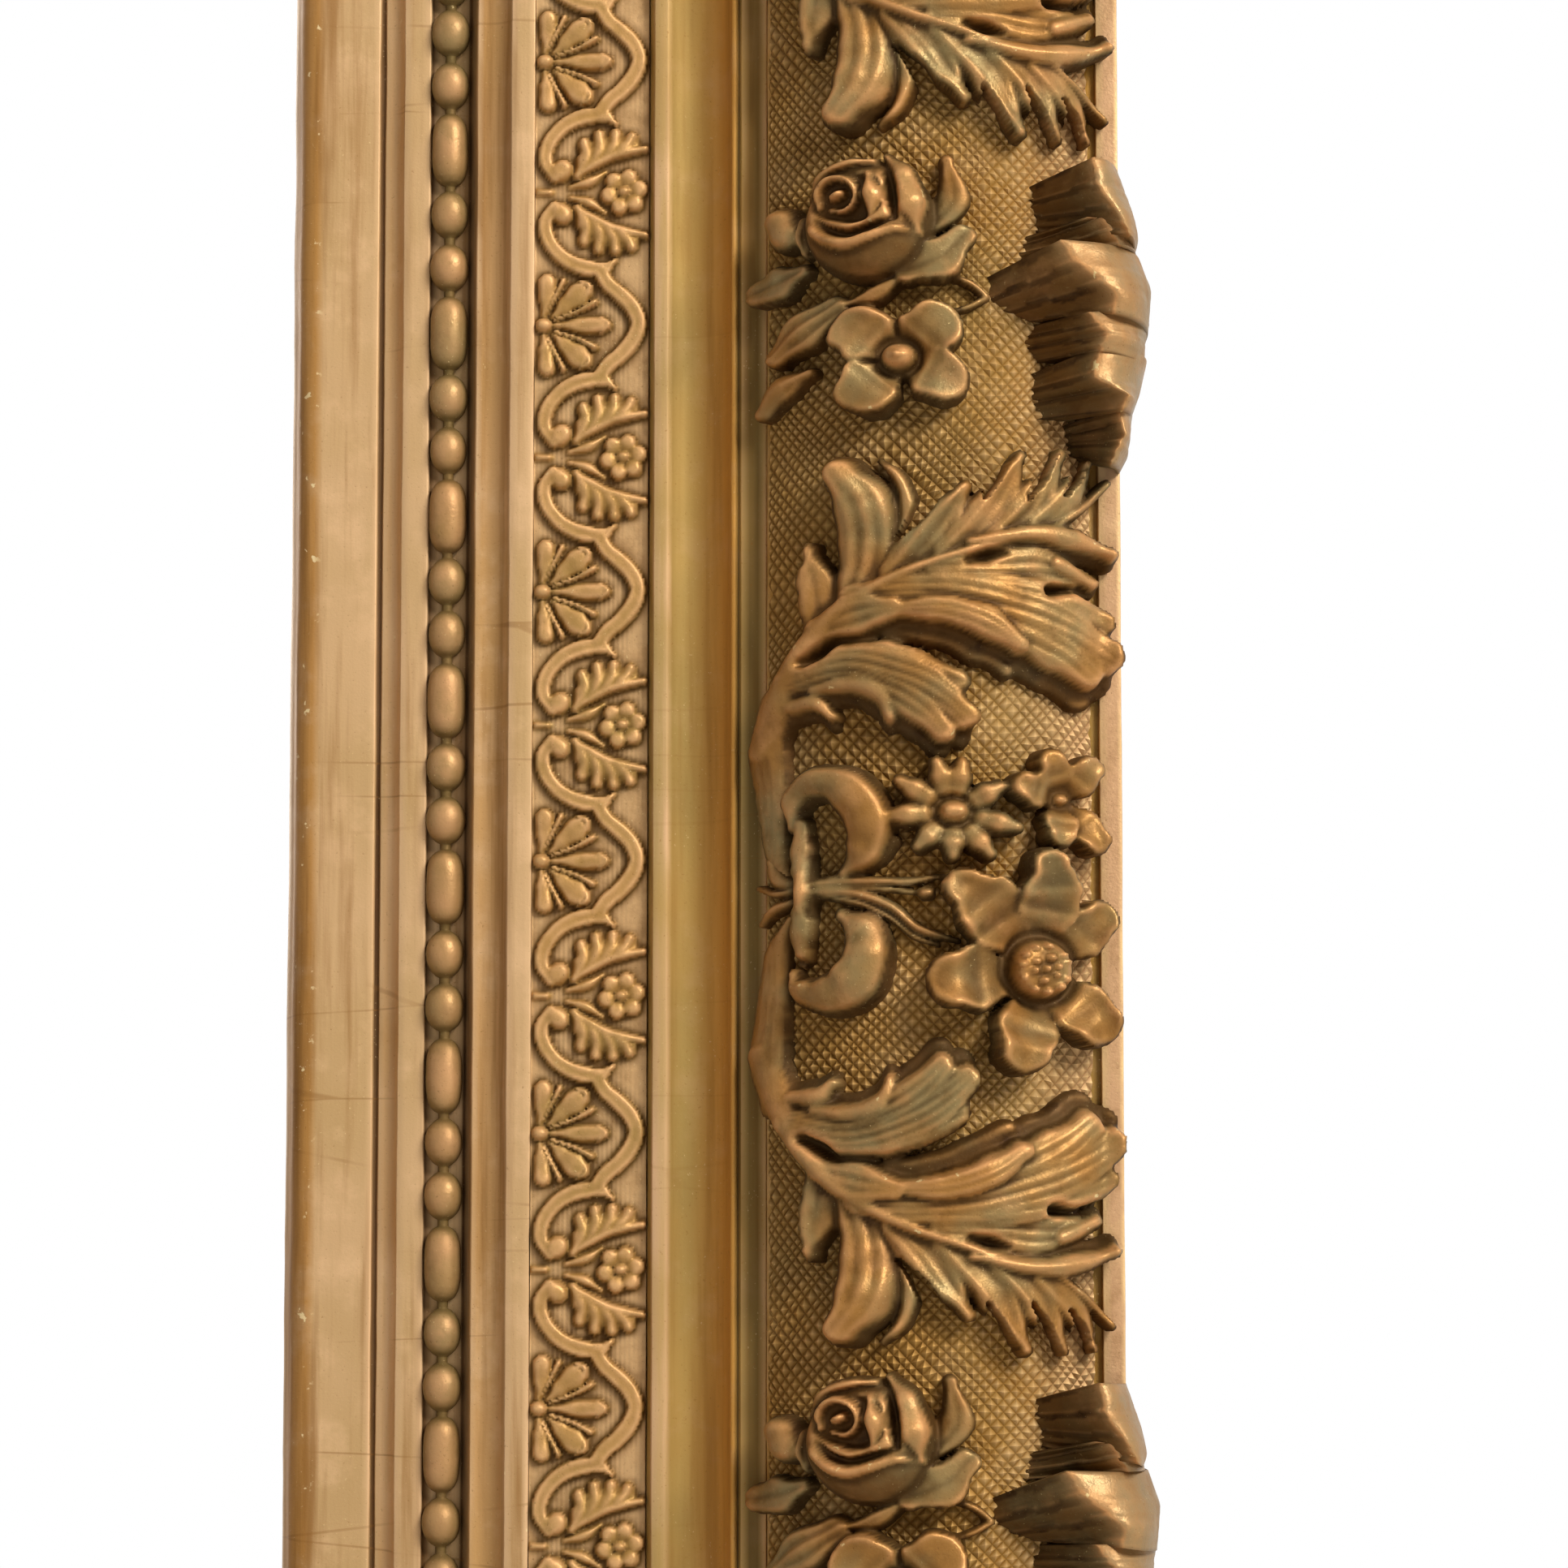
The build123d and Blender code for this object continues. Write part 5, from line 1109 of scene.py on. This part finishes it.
sprayLobes = [  # the rose's heart, the bud and the leaves
    lobe([(17.8, 20.2), (18.8, 20.8)], 1.4, 11.2, crown=0.5, edge=1, dirt=0.4),
    lobe([(34, 13), (39.2, 19.4), (38, 28)], [2.2, 3.6, 1.8], [4.6, 5.6, 5], tilt=-0.8, groove=0.4, edge=0.8,
         ragged=0.8, dirt=0.2),
    lobe([(30.4, 4.4), (36.6, 7), (40.8, 11.6)], [2.8, 5.2, 3], [5.4, 6.6, 6.2], crown=-0.1, tilt=-0.8,
         groove=0.4, edge=0.8, ragged=0.8),
    lobe([(5.2, 17.2), (6.4, 14.4)], [3.9, 4], [6.4, 6.8], crown=0.3, edge=3.2),
    lobe([(9.6, 17.6), (9.4, 13), (10, 9.4)], [0.7, 1.1, 0.7], [5.4, 6, 5.2]),
    lobe([(9.2, 6.2), (4.4, 4.2), (0.6, 3.4)], [2, 4.4, 3.4], [4.6, 5, 4], crown=0.1, tilt=0.8, groove=0.5),
    lobe([(29.6, 3.4), (22.6, -1), (17, -2)], [1.3, 2.2, 1], [4.6, 5, 4.2], tilt=-0.6, groove=0.3),
    lobe([(15.4, -3), (9.2, -7.2), (4.2, -11.4)], [3.6, 5, 2.8], [4.4, 5.2, 4.4], flutes=3, ripple=0.45,
         tilt=0.6),
    lobe([(10.6, -15.8), (4.6, -19), (1.2, -23)], [1.4, 3.2, 2.2], [4, 4.6, 3.8], flutes=2, ripple=0.35),
]
openHeart = (28.8, -14.4)
openPetals = [
    ([(26.6, -12.6), (23.2, -10), (21.4, -8.8)], 0.25), ([(30.8, -12), (33.8, -9.2), (35.4, -7.8)], -0.25),
    ([(31.2, -16), (35.2, -18), (37, -18.8)], 0.25), ([(26.8, -16.6), (23.8, -19.8), (22.4, -21.2)], -0.25),
]
openPetal = {"crown": -0.24, "edge": 1.2, "ragged": 1.6, "dirt": 0.15}
roseLobes = roseBody + sprayLobes
roseLobes += [lobe(path, [3.4, 6, 5.8], [4.6, 7.2, 8.2], tilt=tilt, **openPetal) for path, tilt in openPetals]
roseLobes += [
    dot(openHeart, 5, hole=4.6, edge=1.2),
    dot(openHeart, 3.8, 10, crown=0.3, edge=2.8, dirt=0.35),
    dot(openHeart, 1.5, 11.4, crown=0.4, edge=1.2),
    lobe([(36.6, 4), (42.6, 2.2), (46.4, -0.8)], [0.8, 1, 0.9], [4, 3.8, 3.4]),
    lobe([(37.4, -4.4), (42, -3.2), (46.4, -0.8)], [0.7, 0.9, 0.9], [3.8, 3.6, 3.4]),
]
roseCell = reliefCell * 0.85
roseSpray = reliefMesh(roseLobes, (-5.0, -28.0), (50.0, 33.0), roseCell, castSeed["roseSpray"])

for name, side in sides.items():
    count, pitch = repeats(side["half"], torusMiddle, foliageTarget)
    ties = [(i - (count - 1) / 2) * pitch for i in range(count)]
    between = [(i - count / 2) * pitch for i in range(1, count)]
    leaves = [(leaf, tie) for tie in ties for leaf in (lowerLeaf, upperLeaf)]
    layRelief("scroll_leaves", name, leaves, torusSurface)
    layRelief("tie_bouquets", name, [(bouquet, tie) for tie in ties], torusSurface)
    layRelief("rose_sprays", name, [(roseSpray, place) for place in between], torusSurface)
print("foliage laid")

# Edge shells: striped walls rise from ragged roots to a zigzag crest, then the top rolls over the rim
shellTiles = [
    {"root": [(62.4, -27.0), (63.6, -33.0)], "crest": [(74.4, -24.4), (75.4, -30.6), (72.6, -36.6)],
     "lip": [(78.2, -24.0), (77.0, -33.4), (75.2, -36.8)], "rise": 13.5},
    {"root": [(55.8, -16.6), (55.4, -21.0), (56.6, -26.0)],
     "crest": [(70.2, -12.6), (69.0, -19.2), (76.0, -22.6), (75.0, -25.8)],
     "lip": [(81.4, -12.6), (79.8, -19.6), (77.6, -25.6)], "rise": 18.0},
    {"root": [(56.4, -5.8), (53.8, -10.2), (56.4, -13.8)],
     "crest": [(68.0, -5.2), (71.8, -10.2), (70.2, -13.6)],
     "lip": [(82.0, -4.4), (81.0, -9.0), (80.8, -14.6)], "rise": 19.0},
    {"root": [(46.0, 3.6), (46.6, -1.0), (51.0, -3.8), (55.0, -5.0)],
     "crest": [(62.0, 9.8), (65.4, 5.2), (69.4, 2.0), (73.6, -1.6), (73.0, -5.8)],
     "lip": [(80.0, 9.4), (82.4, 2.4), (81.6, -7.0)], "rise": 21.0},
    {"root": [(53.8, 13.2), (52.0, 7.6)], "crest": [(67.6, 15.8), (70.8, 15.4), (73.6, 11.4), (74.6, 9.6)],
     "lip": [(78.0, 15.4), (79.2, 9.6)], "rise": 16.0},
    {"root": [(55.2, 24.0), (55.6, 19.6), (56.8, 14.6)],
     "crest": [(69.0, 27.8), (69.8, 21.8), (73.4, 16.6), (76.8, 11.2)],
     "lip": [(75.4, 27.4), (78.4, 18.6), (79.6, 12.8), (78.6, 10.2)], "rise": 19.6},
]
shellGrid = {
    "rows": 44, "columns": 25, "wall": (0.0, 0.56), "top": (0.58, 1.0), "crest": 0.6, "stripes": 3,
    "soil": 0.8, "deep": 1.2, "under": 2.5, "side": 7.0, "thick": 1.6,
}
shellCut = {
    "jag": 1.6, "ledge": (0.55, 1.5), "swell": 1.5, "roll": 0.85, "rough": (0.7, 6), "fine": (0.25, 1.9),
}


def alongLine(line, b):
    line = np.array(line, float)
    at = np.concatenate([[0], np.cumsum(np.hypot(*np.diff(line, axis=0).T))])
    return np.stack([np.interp(b * at[-1], at, line[:, k]) for k in (0, 1)], -1)


def surfaceHeight(u):
    return onTorus(np.asarray(u, float), 0.0)[1]


def shellTile(item, seed, soil=shellGrid["soil"]):
    rows, columns, top = shellGrid["rows"], shellGrid["columns"], shellGrid["crest"]
    half = rows // 2
    a = [np.linspace(*shellGrid["wall"], half), np.linspace(*shellGrid["top"], rows - half)]
    a = np.concatenate(a)[:, None]
    b = np.linspace(0, 1, columns)
    root, crest, lip = (alongLine(item[key], b)[None] for key in ("root", "crest", "lip"))
    b = b[None]
    f, g = np.clip(a / top, 0, 1), np.clip((a - top) / (1 - top), 0, 1)  # up the wall, then over the top
    wall = a <= top
    rise, roll = f[..., None], np.sin(g * math.pi / 2)[..., None]
    place = np.where(wall[..., None], root * (1 - rise) + crest * rise, crest + (lip - crest) * roll)
    jag = shellCut["jag"] * bumps(b * 40, 0 * f, 2.4, seed)
    place[..., 0] += jag * (1 - g) * (0.4 + 0.6 * (1 - f))
    rootH = surfaceHeight(torus["start"] + root[..., 0]) - shellGrid["deep"]
    crestH, lipH = torus["fillet"] + item["rise"], torus["fillet"] - shellGrid["under"]
    saw = (b * shellGrid["stripes"] + 0.25 * smoothNoise(b * 0, f * 9, 1.7, seed + 3)) % 1.0
    ledge = shellCut["ledge"][0] - shellCut["ledge"][1] * saw
    ledge = ledge * np.sin(math.pi * np.clip(f * 0.92 + 0.04, 0, 1)) ** 0.6
    swell = shellCut["swell"] * np.sin(math.pi * b) * (1 - 0.4 * g)
    wallH = rootH + (crestH - rootH) * f + ledge + swell * f
    h = np.where(wall, wallH, lipH + (crestH - lipH) * np.cos(g * math.pi / 2) ** shellCut["roll"] + swell)
    for k, (amount, cell) in enumerate((shellCut["rough"], shellCut["fine"])):
        h = h + amount * bumps(place[..., 0], place[..., 1], cell, seed + 5 + k)
    # The tile's own sides and underside close it
    beside = lambda grid: np.concatenate([grid[:, :1], grid, grid[:, -1:]], 1)
    whole = lambda grid: np.broadcast_to(grid, (rows, columns))
    edged = lambda grid, value: np.pad(whole(grid), ((0, 1), (1, 1)), constant_values=value)
    place, h = beside(place), beside(h)
    h[:, 0] -= shellGrid["side"]
    h[:, -1] -= shellGrid["side"]
    place = np.concatenate([place, place[-1:] * 0.9 + beside(crest) * 0.1])
    return {
        "x": place[..., 0], "y": place[..., 1], "z": np.concatenate([h, h[-1:] - shellGrid["thick"]]),
        # The walls, turned from the light, are painted dark as shade, with grime in the stripes' hollows; the
        # crest line, ridges and tops are painted lighter as where the light falls, with a paler tint on the
        # tops
        "wear": edged(np.where(wall, f ** 12 + 0.35 * (saw > 0.9), 0.5 - 0.35 * g), 0),
        "cavity": edged(np.where(wall, (soil + 0.3 * (saw < 0.3)) * (1 - f ** 8), 0.2 * g), 0.7),
        "tone": edged(np.where(wall, f ** 10, 1.0 - 0.4 * g), 0),
    }


tileQuads = gridQuads(shellGrid["rows"] + 1, shellGrid["columns"] + 2)[:, ::-1]


def joinTiles(tiles):
    joined = {key: np.concatenate([tile[key].ravel() for tile in tiles]) for key in tiles[0]}
    joined["quads"] = np.concatenate([tileQuads + k * tiles[0]["x"].size for k in range(len(tiles))])
    return joined


shell = joinTiles([shellTile(item, castSeed["shell"] + 11 * k) for k, item in enumerate(shellTiles)])
shell["low"], shell["high"] = (40.0, -40.0), (84.0, 32.0)
shellSurface = lambda x, z: (torus["start"] + x, z)
for name, side in sides.items():
    count, pitch = repeats(side["half"], torusMiddle, foliageTarget)
    layRelief("edge_shells", name, [(shell, (i - count / 2) * pitch) for i in range(1, count)], shellSurface)
print("shells set")

# Corner ornaments: a shell fan and a rose over each mitre, drawn from the sight corner
corner = {
    "root": 150.0, "reach": 188.5, "longest": 50.0, "fingers": 7, "step": 15.0, "rose": 126.0,
    "roseMiddle": (22, 14.5), "rootHalf": 2.6, "crestHalf": 5.6, "lipHalf": 5.4, "soil": 0.3,
    "bakeFrom": 100, "bakeSize": 90,
}
cornerRose = roseBody + [
    lobe([(28, 9), (36, 2), (42, -8)], [2.5, 5, 1.5], [5, 6, 4.6], groove=0.5, tilt=0.6),
    lobe([(15, 21), (7, 28), (-1, 34)], [2.5, 5, 1.5], [5, 6, 4.6], groove=0.5, tilt=-0.6),
    lobe([(14, 6), (6, -2)], [3, 2], [5, 4], groove=0.4),
]
rose = reliefMesh(cornerRose, (-6.0, -14.0), (48.0, 40.0), reliefCell, castSeed["cornerRose"])
fan = []
for k in range(corner["fingers"]):
    turn = math.radians(45 + (k - (corner["fingers"] - 1) / 2) * corner["step"])
    length = min((corner["reach"] - corner["root"]) / max(math.cos(turn), math.sin(turn)), corner["longest"])
    run, beside = np.array([math.cos(turn), math.sin(turn)]), np.array([-math.sin(turn), math.cos(turn)])
    start = np.array([corner["root"], corner["root"]]) - torus["start"]
    at = lambda reach, aside: start + length * reach * run + aside * beside
    root, crest, lip = corner["rootHalf"], corner["crestHalf"], corner["lipHalf"]
    fan.append(shellTile({
        "root": [at(0, root), at(0, -root)], "rise": 15.0 + 2.0 * (k % 2),
        "crest": [at(0.5 + 0.1 * (k % 2), crest), at(0.64, 0), at(0.56, -crest)],
        "lip": [at(0.96, lip), at(1, 0), at(0.96, -lip)],
    }, castSeed["cornerFan"] + k, corner["soil"]))
fan = joinTiles(fan)
roseA = rose["x"] - corner["roseMiddle"][0] + corner["rose"]
roseB = rose["y"] - corner["roseMiddle"][1] + corner["rose"]
a = np.concatenate([roseA, fan["x"] + torus["start"]])
b = np.concatenate([roseB, fan["y"] + torus["start"]])
h = np.concatenate([surfaceHeight(np.maximum(roseA, roseB)) + rose["z"], fan["z"]])
oneQuads = np.concatenate([rose["quads"], fan["quads"] + len(roseA)])
verts, quads, along, across = [], [], [], []
for k, (signX, signZ) in enumerate(((1, 1), (-1, 1), (-1, -1), (1, -1))):
    x = signX * (opening["width"] / 2 + a)
    z = signZ * (opening["height"] / 2 + b) - opening["drop"]
    verts.append(np.stack([x, -h, z], -1) * mm)
    quads.append((oneQuads if signX * signZ > 0 else oneQuads[:, ::-1]) + k * len(a))
    along.append(inRepeat(k, 4, (a - corner["bakeFrom"]) / corner["bakeSize"]))
    across.append((b - corner["bakeFrom"]) / corner["bakeSize"])
layers = {key: np.tile(np.concatenate([rose[key], fan[key]]), 4) for key in ("wear", "cavity")}
makePiece("corner_ornaments_gilt", np.concatenate(verts), [np.concatenate(quads)], "gilded_foliage",
          ["corner_ornaments"], (np.concatenate(along), np.concatenate(across), 4), layers)
print("corners set")

# Hardware and carcass keep their CAD shapes, with eased edges and finishes
carcass = {
    "back_strip_": ("bare_pine", 0.0006), "back_rail_": ("bare_pine", 0.0006),
    "mitre_keys": ("hardwood", 0.0003), "turn_button_screws": ("steel_screws", 0.0002),
    "turn_button_": ("brass_hardware", 0.0003), "hanger_plate_": ("brass_hardware", 0.0003),
    "hanger_ring_": ("brass_hardware", 0.0), "hanger_screws": ("steel_screws", 0.0002),
    "assembly_screws": ("steel_screws", 0.0002),
}
for nodeName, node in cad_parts.items():
    match = max((key for key in carcass if nodeName.startswith(key)), key=len, default=None)
    if match is None:
        continue
    slotName, ease = carcass[match]
    level = slotName == "bare_pine" and nodeName.endswith(("_top", "_bottom"))
    node.data.materials.clear()
    node.data.materials.append(finishes["pineLevel" if level else slotName])
    if ease:
        bevel = node.modifiers.new("eased", "BEVEL")
        bevel.width = ease
        bevel.segments = 2
        bevel.limit_method = "ANGLE"
        bevel.angle_limit = math.radians(40)
print("hardware finished")


# Stage, light and camera
def backgroundRays(tree):
    path = tree.nodes.new("ShaderNodeLightPath")
    seen = mathNode(tree, "MAXIMUM", path.outputs["Is Camera Ray"], path.outputs["Is Glossy Ray"])
    return mathNode(tree, "MAXIMUM", seen, path.outputs["Is Transmission Ray"])


def mixShaders(tree, factor, first, second, out):
    mix = tree.nodes.new("ShaderNodeMixShader")
    for k, socket in enumerate((factor, first.outputs[0], second.outputs[0])):
        tree.links.new(socket, mix.inputs[k])
    tree.links.new(mix.outputs[0], out.inputs[0])


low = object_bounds()[0]
stage = {
    "size": 60.0, "gap": 0.001, "paint": (0.86, 0.86, 0.85, 1), "white": 0.6, "paleFrom": 0.7, "paleTo": 2.4,
}
bpy.ops.mesh.primitive_plane_add(size=stage["size"], location=(0, 0, low[2] - stage["gap"]))
floor = bpy.context.object
floor.name = "studioFloor"
floorPaint, tree, shader, place = startFinish("studioFloor")
shader.inputs["Base Color"].default_value = stage["paint"]
shader.inputs["Roughness"].default_value = 0.9
away = tree.nodes.new("ShaderNodeVectorMath")
away.operation = "LENGTH"
tree.links.new(place, away.inputs[0])
paleness = rampNode(tree, away.outputs["Value"], stage["paleFrom"], stage["paleTo"], stage["white"], 1.0)
paintOut = next(node for node in tree.nodes if node.type == "OUTPUT_MATERIAL")
pale = mathNode(tree, "MULTIPLY", backgroundRays(tree), paleness)
mixShaders(tree, pale, shader, tree.nodes.new("ShaderNodeEmission"), paintOut)
floor.data.materials.append(floorPaint)

skyLook = {"dim": ((1.0, 0.58, 0.2, 1), 0.04), "white": ((1, 1, 1, 1), 1.0)}
world = bpy.data.worlds.new("studio")
bpy.context.scene.world = world
world.use_nodes = True
sky = world.node_tree
sky.nodes.clear()
shades = []
for colour, strength in skyLook.values():
    shades.append(sky.nodes.new("ShaderNodeBackground"))
    shades[-1].inputs[0].default_value, shades[-1].inputs[1].default_value = colour, strength
mixShaders(sky, backgroundRays(sky), *shades, sky.nodes.new("ShaderNodeOutputWorld"))

aim = Vector((0.3566, -0.078, -0.5818))
lamps = {
    "key": {"from": (1.25, -1.5, 1.2), "size": 0.8, "power": 52.0, "colour": (1.0, 0.96, 0.91)},
    "top": {"from": (0.1, -0.8, 2.0), "size": 0.8, "power": 7.5, "colour": (1.0, 0.84, 0.74)},
    "fill": {"from": (0.6, -1.4, -1.5), "size": 1.4, "power": 6.5, "colour": (0.66, 0.83, 1.0)},
    "back": {"from": (-1.0, 2.4, 0.9), "size": 1.6, "power": 44.0, "colour": (1.0, 0.96, 0.9)},
}
view = {"lens": 114.9, "from": (0.3566, -1.132, -0.689), "sensor": 36}


def aimed(name, data, location, direction):
    holder = bpy.data.objects.new(name, data)
    bpy.context.scene.collection.objects.link(holder)
    holder.location = location
    holder.rotation_euler = direction.to_track_quat("-Z", "Y").to_euler()
    return holder


for lampName, lamp in lamps.items():
    light = bpy.data.lights.new(lampName, "AREA")
    light.size = lamp["size"]
    light.energy = lamp["power"]
    light.color = lamp["colour"]
    aimed(lampName, light, aim + Vector(lamp["from"]), -Vector(lamp["from"]))
cameraData = bpy.data.cameras.new("camera")
cameraData.lens = view["lens"]
cameraData.sensor_width = view["sensor"]
bpy.context.scene.camera = aimed("camera", cameraData, view["from"], aim - Vector(view["from"]))
bpy.context.scene.view_settings.view_transform = "Standard"
